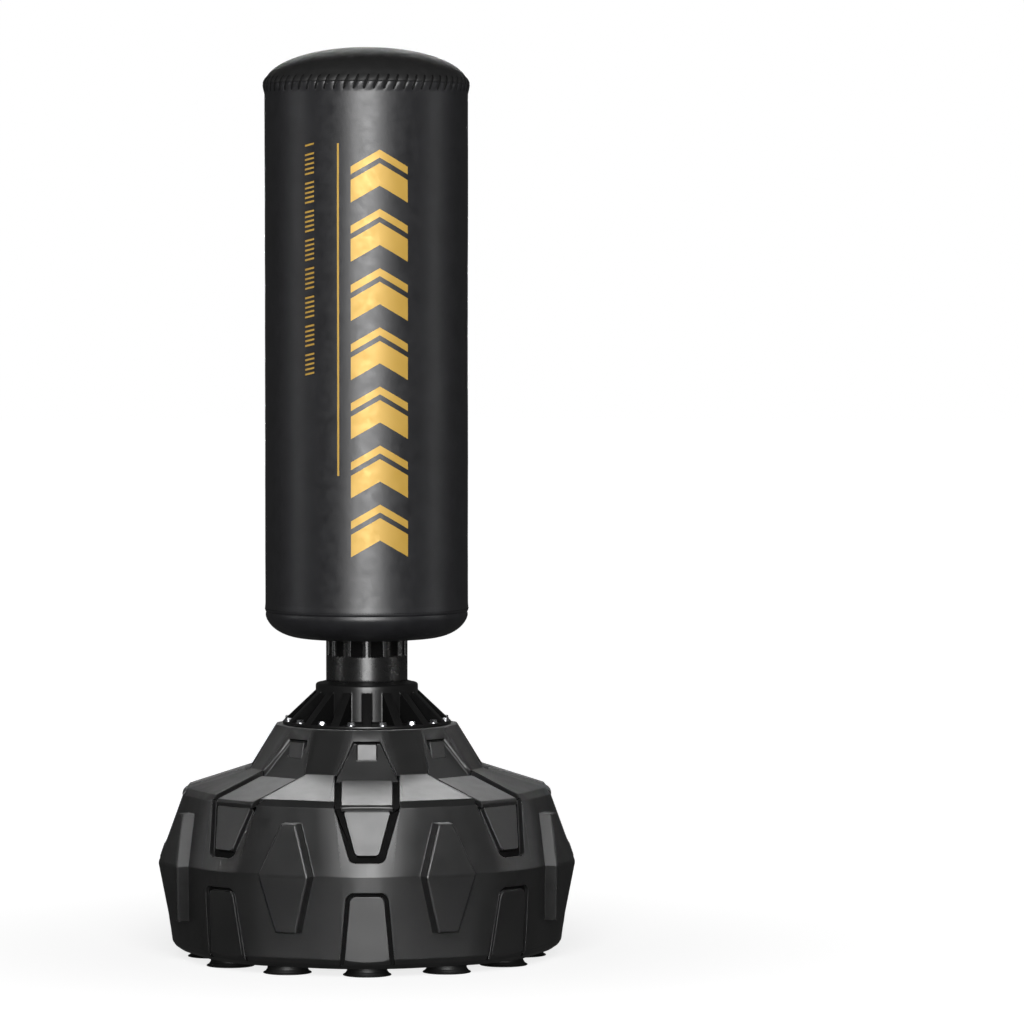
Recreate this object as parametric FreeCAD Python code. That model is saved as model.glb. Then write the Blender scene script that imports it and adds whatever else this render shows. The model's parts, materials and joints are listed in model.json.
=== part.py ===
import FreeCAD, Part
import math
import os

# Free-standing punching bag: a fillable floor base with a tyre-tread pattern, a finned rubber damper
# over four springs, and a tall laced leather bag on a steel mast.
# Millimetres, +Z up, origin on the floor under the centre of the base; the front faces -Y.

V = FreeCAD.Vector

# ---------------------------------------------------------------- driving dimensions
TOTAL_H = 1650.0            # floor to the top of the domed bag
TILT_Z = 462.0              # height of the point that the bag leans about

# base tank
REPEATS = 8                 # tread pattern repeats round the base
FLOOR_GAP = 16.0            # clear height under the tank
EQUATOR_Z = 183.0
TANK_TOP = 424.0
WALL = 7.0                  # moulded wall thickness
TOP_WALL = 16.0             # thicker top, which takes the bolts
ROOF_HALF = 27.0            # half-width of the facets at the roof of the hollow
# outer sections: height, distance of the tread lands from the axis, half-width of the facet between lands,
# and radius in plan of the corner where the two meet
SECTIONS = [
    (FLOOR_GAP, 330.0, 49.0, 215.0),
    (24.0, 341.0, 49.0, 215.0),
    (34.0, 347.0, 49.0, 215.0),
    (67.0, 352.0, 48.0, 220.0),
    (EQUATOR_Z, 365.0, 45.0, 225.0),
    (300.0, 333.0, 58.0, 190.0),
    (311.5, 322.5, 57.0, 100.0),
    (347.8, 215.6, 57.0, 40.0),
    (TANK_TOP, 164.0, 33.0, 40.0),
]
FOOT, KNEE, EQUATOR, SHOULDER_EDGE, SHOULDER, SLOPE, CROWN = 0, 3, 4, 5, 6, 7, 8    # rows of SECTIONS
CORNER_STEPS = 4            # straight runs that make up each corner

# tread features on the facets: half-width and height at the foot, then half-width and height at the head
SHOULDER_CHANNEL = (57.0, 296.0, 57.0, 347.8)
SHOULDER_PANEL = (45.5, 308.0, 45.5, 343.5)
SIDE_CHANNEL = (30.0, 207.0, 59.0, 306.0)
SIDE_PANEL = (21.0, 220.0, 42.0, 296.0)
ARCH_CHANNEL = (49.5, 5.0, 36.5, 154.0)
ARCH_PANEL = (42.5, 5.0, 30.0, 147.0)
SLOPE_RECESS = (57.0, 338.0, 24.0, 405.0)
SIDE_CHANNEL_R = 14.0       # corner radii of the features
SIDE_PANEL_R = 9.0
SIDE_PANEL_TOP_R = 4.0
SHOULDER_PANEL_R = 5.0
ARCH_CHANNEL_R = 16.0
ARCH_PANEL_R = 11.0
CHANNEL_DEPTH = 14.0        # grooves round the shoulder and side panels
PANEL_SINK = 4.0            # how far those panels lie below the facet
ARCH_DEPTH = 10.0           # grooves round the lower arched panels
ARCH_SINK = 4.0
RECESS_DEPTH = 10.0         # fan-shaped recess on the upper slope
CUT_CLEAR = 30.0            # how far the cutters run out of the tank
NUB_HALF = 17.5
# side view of the nub on the upper slope, (distance from the axis, height)
NUB_OUTLINE = [(155.0, 399.0), (172.0, 402.0), (177.0, 400.0), (184.0, 372.0), (178.0, 367.0), (165.0, 372.0)]

# tall hexagonal lugs on the lands
LUG_PROUD = 23.0            # how far they stand out of the lands
LUG_DRAFT = 3.0
LUG_LOW_Z = 81.0
LUG_HIGH_Z = 273.0
LUG_LOW_HALF = 20.0
LUG_WIDE_HALF = 48.0
LUG_HIGH_HALF = 14.0

# fill neck and cap, on the back of the shoulder
FILL_Y = 268.0
FILL_R = 22.5
NECK_R = 36.0
NECK_TOP = 345.0
SEAL_T = 2.0
CAP_R = 33.0
CAP_H = 14.0
CAP_STEM = 20.0
CAP_WALL = 4.0
CAP_ROUND = 2.5
CAP_GRIPS = 12
GRIP_R = 6.5                # scallops round the rim
GRIP_DEEP = 2.0
DISH_R = 60.0               # hollowed top
DISH_DEEP = 3.0
SEAL_IN = 2.0               # the seal stops this far inside the cap's rim
RUNNING = 0.08              # radial clearance of a running fit
GAP = 0.3                   # clearance between curved neighbours

# suction cups
CUP_COUNT = 12
CUP_RING_R = 283.0
CUP_LIP_R = 43.0
CUP_LIP_T = 1.2
CUP_ARCH = 9.0              # height of the hollow under the cup
CUP_NECK_R = 35.0
CUP_STEM_R = 9.0
CUP_STEM_H = 5.0
CUP_SHY = 0.2               # the stem stops short of its socket's end

# bolts
BOLT_R = 4.0
BOLT_HEAD = 0.65            # head height, in bolt diameters
BOLT_DEEP = 12.0            # depth of the holes in the tank's top
WASHER_R = 8.0
WASHER_T = 1.6
CONE_BOLT_FLATS = 12.0
PLATE_BOLT_FLATS = 13.0

# damper cone
CONE_R = 153.0              # flange
FLANGE_T = 6.0
CORE_WALL_R = 93.0          # drum that the fins stand on
CORE_BORE = 83.0
DRUM_TOP = 494.0
DRUM_ROUND = 5.0
CONE_TOP = 503.0
FIN_COUNT = 16
FIN_TOP = 485.0
FIN_T = 16.7
FIN_ROOT = 3.0              # how far fins run into the drum
MAST_R = 30.0
BOLT_RING_R = 144.5

# springs and their plates
PLATE_T = 6.0
LOWER_PLATE_R = 62.0
UPPER_PLATE_Z = 488.0
UPPER_PLATE_R = 57.0
SPRING_COUNT = 4
SPRING_RING_R = 40.0
SPRING_R = 14.5             # to the middle of the wire
WIRE_R = 2.5
SPRING_TURNS = 5
SEAT_R = 11.0
SEAT_H = 7.0
CORE_R = 20.0
CORE_WAIST = 16.0
CORE_FOOT = 8.0             # straight ends of the rubber pillar
PLATE_BOLT_R = 52.0         # four of them, between the springs

# neck collar
COLLAR_R = 74.0
COLLAR_WALL = 13.0
COLLAR_FLOOR = 8.0
SLEEVE_T = 5.0              # sleeve that grips the mast
NECK_RIBS = 12
RIB_BAND_Z = 548.0          # ribs stand above this height
RIB_HALF = 7.5
RIB_DEPTH = 6.0
RIB_SINK = 1.5              # ribs stop this far under their beads
BEAD_HALF = 4.0

# bag
BAG_R = 184.7
BAG_BOTTOM = 580.0
BOTTOM_SEAM = 628.0
TOP_SEAM = 1583.0
ROUND_W = 73.0              # width of the elliptical rounding at the bottom edge
COVER_T = 2.5
DOME_FLAT = 1.0             # radius of the level spot at the very top
SUPPORT_T = 12.0
SUPPORT_R = 150.0
SUPPORT_FLAT_R = 100.0
SUPPORT_EDGE = 8.0
MAST_HOLE = 2.0             # the cover's hole is this much wider than the mast
TUBE_R = 100.0
TUBE_T = 4.0
TUBE_TOP = 1540.0
MAST_TOP = 1480.0
MAST_T = 3.0
PLUG_DEEP = 20.0
PLUG_CROWN = 4.0
SPACER_H = 20.0
SPACER_LEVELS = (620.0, 1440.0)
FOAM_R = 166.0
BUFFER_R = 181.8
LACE_COUNT = 64
LACE_R = 2.6
LACE_RISE = 14.0            # half its height
LACE_LEAN = 1.7             # half its lean, in degrees round the bag

# zip, down the back of the cover
ZIP_BOTTOM = 645.0
ZIP_TOP = 1560.0
ZIP_HALF = 7.0
TAPE_SINK = 0.3             # the tape lies this far below the leather
TOOTH_PITCH = 6.0
TOOTH_HALF = 1.6
TOOTH_SHIFT = 0.8           # the two rows of teeth lie this far off the middle
TOOTH_TOP = 1.4
TEETH_SHY = 10.0            # bare tape at each end
SLIDER_Z = 1545.0
SLIDER_HALF_L = 9.0
SLIDER_HALF_W = 6.0
SLIDER_T = 5.0
TUNNEL_HALF = 2.9
TUNNEL_T = 2.0
EYE_R = 1.3
EYE_WALL = 3.2
PIN_R = 1.25
PULL_L = 40.0
PULL_HALF_W = 5.0
PULL_HALF_T = 1.1
PULL_PIN_Y = 192.5

EIGHTH = 360.0 / REPEATS
HALF_PITCH = math.radians(EIGHTH / 2)


# ---------------------------------------------------------------- helpers
def polygon(points):
    return Part.Face(Part.makePolygon(list(points) + [points[0]]))


def solid_from(faces):
    solid = Part.makeSolid(Part.makeShell(faces))
    if solid.Volume < 0:
        solid.reverse()
    return solid


def spin(shape, degrees):
    turned = shape.copy()
    turned.rotate(V(0, 0, 0), V(0, 0, 1), degrees)
    return turned


def around(shape, count, start=0.0):
    return [spin(shape, start + 360.0 * i / count) for i in range(count)]


def turned(profile):
    """Solid of revolution about Z from (radius, height) points."""
    face = polygon([V(r, 0, z) for r, z in profile])
    return face.revolve(V(0, 0, 0), V(0, 0, 1), 360)


def tube(outer, inner, z0, z1):
    return turned([(inner, z0), (outer, z0), (outer, z1), (inner, z1)])


def disc(radius, z0, z1, x=0.0, y=0.0):
    return Part.makeCylinder(radius, z1 - z0, V(x, y, z0))


def tube_at(outer, inner, z0, z1, x, y):
    return disc(outer, z0, z1, x, y).cut(disc(inner, z0 - 1, z1 + 1, x, y))


def box(x0, x1, y0, y1, z0, z1):
    return Part.makeBox(x1 - x0, y1 - y0, z1 - z0, V(x0, y0, z0))


def hex_prism(across_flats, z0, z1, x, y):
    radius = across_flats / 2 / math.cos(math.pi / 6)
    points = []
    for i in range(6):
        a = math.radians(60 * i)
        points.append(V(x + radius * math.cos(a), y + radius * math.sin(a), z0))
    return polygon(points).extrude(V(0, 0, z1 - z0))


def profile_slab(profile, half):
    """Prism of a (radius, height) outline, lying along +X, from -half to +half in Y."""
    face = polygon([V(r, -half, z) for r, z in profile])
    return face.extrude(V(0, 2 * half, 0))


def rounded_outline(corners, radii):
    """Closed wire through flat corners (u, v) with a tangent arc at each corner of non-zero radius."""
    edges = []
    ends = []
    count = len(corners)
    for i, radius in enumerate(radii):
        here = V(corners[i][0], corners[i][1], 0)
        before = V(corners[i - 1][0], corners[i - 1][1], 0) - here
        after = V(corners[(i + 1) % count][0], corners[(i + 1) % count][1], 0) - here
        before.normalize()
        after.normalize()
        if radius == 0:
            ends.append((here, here, None))
            continue
        half = before.getAngle(after) / 2
        run = radius / math.tan(half)
        middle = before + after
        middle.normalize()
        top = here + middle * (radius / math.sin(half) - radius)
        ends.append((here + before * run, here + after * run, top))
    for i in range(count):
        start, stop, top = ends[i]
        if top is not None:
            edges.append(Part.Arc(start, top, stop).toShape())
        edges.append(Part.LineSegment(stop, ends[(i + 1) % count][0]).toShape())
    return Part.Wire(edges)


# ---------------------------------------------------------------- tank: faceted body
def facet_reach(land, half):
    """Distance from the axis to the facet between two lands."""
    return (land - half * math.sin(HALF_PITCH)) / math.cos(HALF_PITCH)


def spin_point(out, across, z, a):
    return V(out * math.cos(a) - across * math.sin(a), out * math.sin(a) + across * math.cos(a), z)


def section_ring(z, land, half, corner_r):
    """Plan outline at one height: eight facets and eight lands, with a rounded corner where they meet."""
    reach = facet_reach(land, half)
    ring = []
    for i in range(REPEATS):
        a = math.radians(EIGHTH * i)
        for side in (-1, 1):
            corner = spin_point(reach, side * half, z, a)
            towards = a + side * HALF_PITCH / 2
            back = corner_r / math.cos(HALF_PITCH / 2)
            centre = corner - V(math.cos(towards), math.sin(towards), 0) * back
            for step in range(CORNER_STEPS + 1):
                turn = towards + HALF_PITCH * (step / CORNER_STEPS - 0.5)
                ring.append(centre + V(math.cos(turn), math.sin(turn), 0) * corner_r)
    return ring


def faceted_body(sections):
    rings = [section_ring(*section) for section in sections]
    faces = [polygon(rings[0][::-1]), polygon(rings[-1])]
    count = len(rings[0])
    for low, high in zip(rings, rings[1:]):
        for i in range(count):
            j = (i + 1) % count
            faces.append(polygon([low[i], low[j], high[j], high[i]]))
    return solid_from(faces)


def inset_sections(wall):
    """The sections moved inwards by a wall thickness, for the hollow inside."""
    shrunk = []
    for i in range(1, len(SECTIONS) - 1):
        z, land, half, corner_r = SECTIONS[i]
        below = V(SECTIONS[i - 1][1], SECTIONS[i - 1][0], 0)
        above = V(SECTIONS[i + 1][1], SECTIONS[i + 1][0], 0)
        here = V(land, z, 0)
        run_in = (here - below).normalize()
        run_out = (above - here).normalize()
        inward = V(-run_in.y, run_in.x, 0) + V(-run_out.y, run_out.x, 0)
        inward.normalize()
        shift = wall / math.cos(run_in.getAngle(run_out) / 2)
        moved = here + inward * shift
        shrunk.append((moved.y, moved.x, half - wall * math.tan(HALF_PITCH / 2), corner_r - wall))
    foot = SECTIONS[FOOT]
    floor = (FLOOR_GAP + wall, foot[1] - wall, foot[2] - wall / 2, foot[3] - wall)
    shrunk = [section for section in shrunk if section[0] > floor[0] + 1.0]
    top_z = TANK_TOP - TOP_WALL
    last_z, last_land, last_half, last_r = shrunk[-1]
    share = (top_z - last_z) / (TANK_TOP - last_z)
    roof_land = last_land + share * (SECTIONS[CROWN][1] - wall - last_land)
    roof = (top_z, roof_land, last_half + share * (ROOF_HALF - last_half), last_r)
    return [floor] + shrunk + [roof]


# ---------------------------------------------------------------- tank: tread features
def facet_frame(lower, upper):
    """Foot, up and outward vectors of the facet between two sections, in the X-Z plane."""
    foot = V(facet_reach(SECTIONS[lower][1], SECTIONS[lower][2]), 0, SECTIONS[lower][0])
    head = V(facet_reach(SECTIONS[upper][1], SECTIONS[upper][2]), 0, SECTIONS[upper][0])
    up = (head - foot).normalize()
    outward = V(up.z, 0, -up.x)
    return foot, up, outward


def facet_plate(lower, upper, outline, radii, inner, outer):
    """Plate on a facet: outline is (sideways, height) corners, between two depths along its normal."""
    foot, up, outward = facet_frame(lower, upper)
    flat = [(side, (z - foot.z) / up.z) for side, z in outline]
    wire = rounded_outline(flat, radii)
    matrix = FreeCAD.Matrix(0, up.x, outward.x, 0, 1, up.y, outward.y, 0, 0, up.z, outward.z, 0, 0, 0, 0, 1)
    wire = wire.transformGeometry(matrix)
    face = Part.Face(wire)
    face.translate(foot + outward * inner)
    return face.extrude(outward * (outer - inner))


def trapezoid(feature, grow=0.0, grow_low=0.0, grow_high=0.0):
    low_half, low_z, high_half, high_z = feature
    low_side = low_half + grow
    high_side = high_half + grow
    low = low_z - grow_low
    high = high_z + grow_high
    return [(-low_side, low), (low_side, low), (high_side, high), (-high_side, high)]


def shoulder_channel(grow):
    outline = trapezoid(SHOULDER_CHANNEL, grow, grow, 0)
    return facet_plate(SHOULDER, SLOPE, outline, [0, 0, 0, 0], -CHANNEL_DEPTH - grow, CUT_CLEAR)


def side_channel(grow):
    outline = trapezoid(SIDE_CHANNEL, grow, grow, 0)
    radii = [SIDE_CHANNEL_R, SIDE_CHANNEL_R, 0, 0]
    return facet_plate(EQUATOR, SHOULDER_EDGE, outline, radii, -CHANNEL_DEPTH - grow, CUT_CLEAR)


def arch_channel(grow):
    outline = trapezoid(ARCH_CHANNEL, grow, 0, grow)
    radii = [0, 0, ARCH_CHANNEL_R, ARCH_CHANNEL_R]
    return facet_plate(KNEE, EQUATOR, outline, radii, -ARCH_DEPTH - grow, CUT_CLEAR)


def slope_recess(grow):
    outline = trapezoid(SLOPE_RECESS, grow, 0, grow)
    return facet_plate(SLOPE, CROWN, outline, [0, 0, 0, 0], -RECESS_DEPTH - grow, 2 * RECESS_DEPTH)


def channels(grow=0.0):
    makers = (shoulder_channel, side_channel, arch_channel, slope_recess)
    return [cutter for make in makers for cutter in around(make(grow), REPEATS)]


def shoulder_panel():
    radii = [0, 0, SHOULDER_PANEL_R, SHOULDER_PANEL_R]
    root = -CHANNEL_DEPTH - 1.0
    return facet_plate(SHOULDER, SLOPE, trapezoid(SHOULDER_PANEL), radii, root, -PANEL_SINK)


def side_panel():
    radii = [SIDE_PANEL_R, SIDE_PANEL_R, SIDE_PANEL_TOP_R, SIDE_PANEL_TOP_R]
    root = -CHANNEL_DEPTH - 1.0
    return facet_plate(EQUATOR, SHOULDER_EDGE, trapezoid(SIDE_PANEL), radii, root, -PANEL_SINK)


def arch_panel():
    radii = [0, 0, ARCH_PANEL_R, ARCH_PANEL_R]
    root = -ARCH_DEPTH - 1.0
    return facet_plate(KNEE, EQUATOR, trapezoid(ARCH_PANEL), radii, root, -ARCH_SINK)


def nub():
    return profile_slab(NUB_OUTLINE, NUB_HALF)


def lug(grow=0.0):
    """Tall hexagonal lug, bent at the equator, on the land that faces +X."""
    knee_z, knee_land = SECTIONS[KNEE][:2]
    edge_z, edge_land = SECTIONS[SHOULDER_EDGE][:2]
    land = SECTIONS[EQUATOR][1]
    slope_up = (edge_land - land) / (edge_z - EQUATOR_Z)
    slope_down = (land - knee_land) / (EQUATOR_Z - knee_z)
    levels = [
        (LUG_LOW_Z - grow, land + slope_down * (LUG_LOW_Z - EQUATOR_Z), LUG_LOW_HALF + grow),
        (EQUATOR_Z, land, LUG_WIDE_HALF + grow),
        (LUG_HIGH_Z + grow, land + slope_up * (LUG_HIGH_Z - EQUATOR_Z), LUG_HIGH_HALF + grow),
    ]
    front = []
    back = []
    for z, reach, half in levels:
        front.append((V(reach + LUG_PROUD + grow, -half, z), V(reach + LUG_PROUD + grow, half, z)))
        root = reach - 2 * WALL
        back.append((V(root, -half - LUG_DRAFT, z), V(root, half + LUG_DRAFT, z)))
    faces = []
    for i in (0, 1):
        faces.append(polygon([front[i][0], front[i][1], front[i + 1][1], front[i + 1][0]]))
        faces.append(polygon([back[i][1], back[i][0], back[i + 1][0], back[i + 1][1]]))
        for s in (0, 1):
            faces.append(polygon([front[i][s], front[i + 1][s], back[i + 1][s], back[i][s]]))
    faces.append(polygon([front[0][0], back[0][0], back[0][1], front[0][1]]))
    faces.append(polygon([front[2][0], front[2][1], back[2][1], back[2][0]]))
    return solid_from(faces)


def bolt_hole(ring_r, low, high):
    return disc(BOLT_R + RUNNING, low, high, ring_r, 0)


def base_tank():
    body = faceted_body(SECTIONS)
    outer = body.fuse(around(lug(), REPEATS, EIGHTH / 2))
    outer = outer.cut(channels())
    raised = around(nub(), REPEATS)
    for panel in (shoulder_panel(), side_panel(), arch_panel()):
        raised += around(panel.common(body), REPEATS)
    raised.append(disc(NECK_R, SHOULDER_PANEL[1] - CHANNEL_DEPTH, NECK_TOP, 0, FILL_Y))
    outer = outer.fuse(raised)
    hollow = faceted_body(inset_sections(WALL)).cut(channels(WALL))
    hollow = hollow.fuse(around(lug(-WALL), REPEATS, EIGHTH / 2))
    side = 2 * SECTIONS[EQUATOR][1]
    shell = outer.cut([hollow, box(-side, side, -side, side, -FLOOR_GAP, FLOOR_GAP)])
    holes = [disc(FILL_R, NECK_TOP - 2 * NECK_R, NECK_TOP + 1, 0, FILL_Y)]
    socket = disc(CUP_STEM_R + RUNNING, FLOOR_GAP - 1, FLOOR_GAP + CUP_STEM_H, 0, -CUP_RING_R)
    holes += around(socket, CUP_COUNT)
    holes += around(bolt_hole(BOLT_RING_R, TANK_TOP - BOLT_DEEP, TANK_TOP + 1), FIN_COUNT, 180.0 / FIN_COUNT)
    holes += around(bolt_hole(PLATE_BOLT_R, TANK_TOP - BOLT_DEEP, TANK_TOP + 1), SPRING_COUNT)
    return shell.cut(holes).removeSplitter()


# ---------------------------------------------------------------- base: feet, cap, plate
def suction_cups():
    stem_top = FLOOR_GAP + CUP_STEM_H - CUP_SHY
    profile = [
        (0, CUP_ARCH), (CUP_LIP_R / 3, 0.93 * CUP_ARCH), (2 * CUP_LIP_R / 3, 0.55 * CUP_ARCH),
        (CUP_LIP_R - 3.0, 0), (CUP_LIP_R, 0), (CUP_LIP_R, CUP_LIP_T), (CUP_NECK_R + 4.0, 3 * CUP_LIP_T),
        (CUP_NECK_R + 1.0, FLOOR_GAP / 2), (CUP_NECK_R, FLOOR_GAP), (CUP_STEM_R, FLOOR_GAP),
        (CUP_STEM_R, stem_top), (0, stem_top),
    ]
    cup = turned(profile)
    cup.translate(V(0, -CUP_RING_R, 0))
    return around(cup, CUP_COUNT)


def cap_seal():
    return [tube_at(CAP_R - SEAL_IN, FILL_R + 1, NECK_TOP, NECK_TOP + SEAL_T, 0, FILL_Y)]


def fill_cap():
    under = NECK_TOP + SEAL_T
    top = under + CAP_H
    head = disc(CAP_R, under, top, 0, FILL_Y)
    top_edges = [e for e in head.Edges if e.BoundBox.ZMin > top - 0.1]
    head = head.makeFillet(CAP_ROUND, top_edges)
    grips = around(disc(GRIP_R, under + CAP_ROUND, top + 1, CAP_R + GRIP_R - GRIP_DEEP, 0), CAP_GRIPS)
    for grip in grips:
        grip.translate(V(0, FILL_Y, 0))
    dish = Part.makeSphere(DISH_R, V(0, FILL_Y, top + DISH_R - DISH_DEEP))
    stem = disc(FILL_R - RUNNING, under - CAP_STEM, under + 1, 0, FILL_Y)
    stem = stem.cut(disc(FILL_R - CAP_WALL, under - CAP_STEM - 1, under - CAP_WALL / 2, 0, FILL_Y))
    return [head.cut(grips).cut(dish).fuse(stem)]


def bolt(ring_r, seat_z, across_flats, length):
    head_h = BOLT_HEAD * 2 * BOLT_R
    head = hex_prism(across_flats, seat_z, seat_z + head_h, ring_r, 0)
    crown = Part.makeCone(0.9 * across_flats, 0.5 * across_flats, 0.4 * across_flats, V(ring_r, 0, seat_z))
    return head.common(crown).fuse(disc(BOLT_R, seat_z - length, seat_z + 1, ring_r, 0))


def lower_plate():
    plate = disc(LOWER_PLATE_R, TANK_TOP, TANK_TOP + PLATE_T)
    holes = around(bolt_hole(PLATE_BOLT_R, TANK_TOP - 1, TANK_TOP + PLATE_T + 1), SPRING_COUNT)
    return [plate.cut(holes)]


def plate_bolts():
    one = bolt(PLATE_BOLT_R, TANK_TOP + PLATE_T, PLATE_BOLT_FLATS, PLATE_T + BOLT_DEEP - 1)
    return around(one, SPRING_COUNT)


def cone_washers():
    seat = TANK_TOP + FLANGE_T
    washer = tube_at(WASHER_R, BOLT_R + RUNNING, seat, seat + WASHER_T, BOLT_RING_R, 0)
    return around(washer, FIN_COUNT, 180.0 / FIN_COUNT)


def cone_bolts():
    stack = FLANGE_T + WASHER_T
    one = bolt(BOLT_RING_R, TANK_TOP + stack, CONE_BOLT_FLATS, stack + BOLT_DEEP - 1)
    return around(one, FIN_COUNT, 180.0 / FIN_COUNT)


# ---------------------------------------------------------------- damper: springs, core, cone
def spring_place(shape):
    return around(shape, SPRING_COUNT, 180.0 / SPRING_COUNT)


def lower_seats():
    seat = disc(SEAT_R, TANK_TOP + PLATE_T, TANK_TOP + PLATE_T + SEAT_H, SPRING_RING_R, 0)
    return spring_place(seat)


def upper_seats():
    seat = disc(SEAT_R, UPPER_PLATE_Z - SEAT_H, UPPER_PLATE_Z, SPRING_RING_R, 0)
    return spring_place(seat)


def springs():
    low = TANK_TOP + PLATE_T + WIRE_R + GAP
    high = UPPER_PLATE_Z - WIRE_R - GAP
    helix = Part.makeHelix((high - low) / SPRING_TURNS, high - low, SPRING_R)
    wire = Part.makeCircle(WIRE_R, V(SPRING_R, 0, 0), V(0, 1, 0))
    coil = Part.Wire(helix.Edges).makePipeShell([Part.Wire(wire)], True, True)
    coil.translate(V(SPRING_RING_R, 0, low))
    return spring_place(coil)


def damper_core():
    """Rubber pillar between the plates, waisted at half its height."""
    low = TANK_TOP + PLATE_T + GAP
    high = UPPER_PLATE_Z - GAP
    foot = low + CORE_FOOT
    head = high - CORE_FOOT
    waist = Part.Arc(V(CORE_R, 0, foot), V(CORE_WAIST, 0, (foot + head) / 2), V(CORE_R, 0, head)).toShape()
    corners = [V(CORE_R, 0, head), V(CORE_R, 0, high), V(0, 0, high), V(0, 0, low), V(CORE_R, 0, low)]
    outline = Part.Wire([waist] + Part.makePolygon(corners + [V(CORE_R, 0, foot)]).Edges)
    return [Part.Face(outline).revolve(V(0, 0, 0), V(0, 0, 1), 360)]


def damper_cone():
    """The whole finned cone, before it is divided at the height it leans about."""
    foot = TANK_TOP
    seat = foot + FLANGE_T
    web = UPPER_PLATE_Z + PLATE_T + GAP
    wall = CORE_WALL_R
    body = turned([
        (CORE_BORE, foot), (CONE_R, foot), (CONE_R, seat),
        (wall + DRUM_ROUND, seat), (wall, seat + DRUM_ROUND),
        (wall, DRUM_TOP), (wall - DRUM_ROUND, DRUM_TOP + DRUM_ROUND), (COLLAR_R + 3, CONE_TOP - 3),
        (COLLAR_R, CONE_TOP), (MAST_R + 1, CONE_TOP), (MAST_R + 1, web), (CORE_BORE, web),
    ])
    fin = profile_slab(
        [(CORE_BORE + FIN_ROOT, foot + 1), (CONE_R - 1, foot + 1), (CONE_R - 1, seat), (wall, FIN_TOP),
         (CORE_BORE + FIN_ROOT, FIN_TOP)],
        FIN_T / 2)
    cone = body.fuse(around(fin, FIN_COUNT))
    return cone.cut(around(bolt_hole(BOLT_RING_R, foot - 1, seat + 1), FIN_COUNT, 180.0 / FIN_COUNT))


def slab_between(low, high):
    side = 2 * CONE_R
    return box(-side, side, -side, side, low, high)


def cone_lower():
    return [damper_cone().common(slab_between(TANK_TOP - 1, TILT_Z))]


def cone_upper():
    return [damper_cone().common(slab_between(TILT_Z, CONE_TOP + 1))]


# ---------------------------------------------------------------- mast and neck
def upper_plate():
    return [disc(UPPER_PLATE_R, UPPER_PLATE_Z, UPPER_PLATE_Z + PLATE_T)]


def mast_tube():
    return [tube(MAST_R, MAST_R - MAST_T, UPPER_PLATE_Z + PLATE_T, MAST_TOP)]


def mast_plug():
    inside = MAST_R - MAST_T
    low = MAST_TOP - PLUG_DEEP
    return [turned([(0, low), (inside, low), (inside, MAST_TOP), (MAST_R, MAST_TOP),
                    (MAST_R - 1.5, MAST_TOP + PLUG_CROWN), (0, MAST_TOP + PLUG_CROWN)])]


def neck_collar():
    """Sleeve on the mast inside a drum whose upper band is cut back between beaded ribs."""
    grip = MAST_R + RUNNING
    sleeve = MAST_R + SLEEVE_T
    inner = COLLAR_R - COLLAR_WALL
    floor = CONE_TOP + COLLAR_FLOOR
    band_r = COLLAR_R - RIB_DEPTH
    sleeve_top = BAG_BOTTOM - SLEEVE_T
    body = turned([
        (grip, CONE_TOP), (COLLAR_R - 1, CONE_TOP), (COLLAR_R, CONE_TOP + 1), (COLLAR_R, RIB_BAND_Z),
        (band_r, RIB_BAND_Z + 2), (band_r, BAG_BOTTOM), (inner, BAG_BOTTOM), (inner, floor),
        (sleeve, floor), (sleeve, sleeve_top), (grip, sleeve_top),
    ])
    rib = box(band_r - 2, COLLAR_R - RIB_SINK, -RIB_HALF, RIB_HALF, RIB_BAND_Z, BAG_BOTTOM)
    bead = box(band_r - 2, COLLAR_R, -BEAD_HALF, BEAD_HALF, RIB_BAND_Z, BAG_BOTTOM)
    band = disc(COLLAR_R, RIB_BAND_Z - 1, BAG_BOTTOM)
    return [body.fuse([piece.common(band) for piece in around(rib.fuse(bead), NECK_RIBS)])]


# ---------------------------------------------------------------- bag
def bottom_round(inset):
    """Elliptical edge of the bag's bottom, from the seam to the flat underside."""
    centre = V(BAG_R - ROUND_W, 0, BOTTOM_SEAM)
    wide = ROUND_W - inset
    deep = BOTTOM_SEAM - BAG_BOTTOM - inset
    ellipse = Part.Ellipse(centre + V(wide, 0, 0), centre + V(0, 0, -deep), centre)
    return ellipse.toShape(0, math.pi / 2)


def closed_turn(edges):
    return Part.Face(Part.Wire(edges)).revolve(V(0, 0, 0), V(0, 0, 1), 360)


def line(r0, z0, r1, z1):
    return Part.LineSegment(V(r0, 0, z0), V(r1, 0, z1)).toShape()


def cover_bottom():
    outside = bottom_round(0)
    inside = bottom_round(COVER_T)
    edge = BAG_R - ROUND_W
    bore = MAST_R + MAST_HOLE
    edges = [
        outside, line(edge, BAG_BOTTOM, bore, BAG_BOTTOM), line(bore, BAG_BOTTOM, bore, BAG_BOTTOM + COVER_T),
        line(bore, BAG_BOTTOM + COVER_T, edge, BAG_BOTTOM + COVER_T), inside,
        line(BAG_R - COVER_T, BOTTOM_SEAM, BAG_R, BOTTOM_SEAM),
    ]
    return [closed_turn(Part.__sortEdges__(edges))]


def cover_body():
    panel = tube(BAG_R, BAG_R - COVER_T, BOTTOM_SEAM, TOP_SEAM)
    slit = box(-ZIP_HALF, ZIP_HALF, BAG_R / 2, 2 * BAG_R, ZIP_BOTTOM, ZIP_TOP)
    return [panel.cut(slit)]


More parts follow.
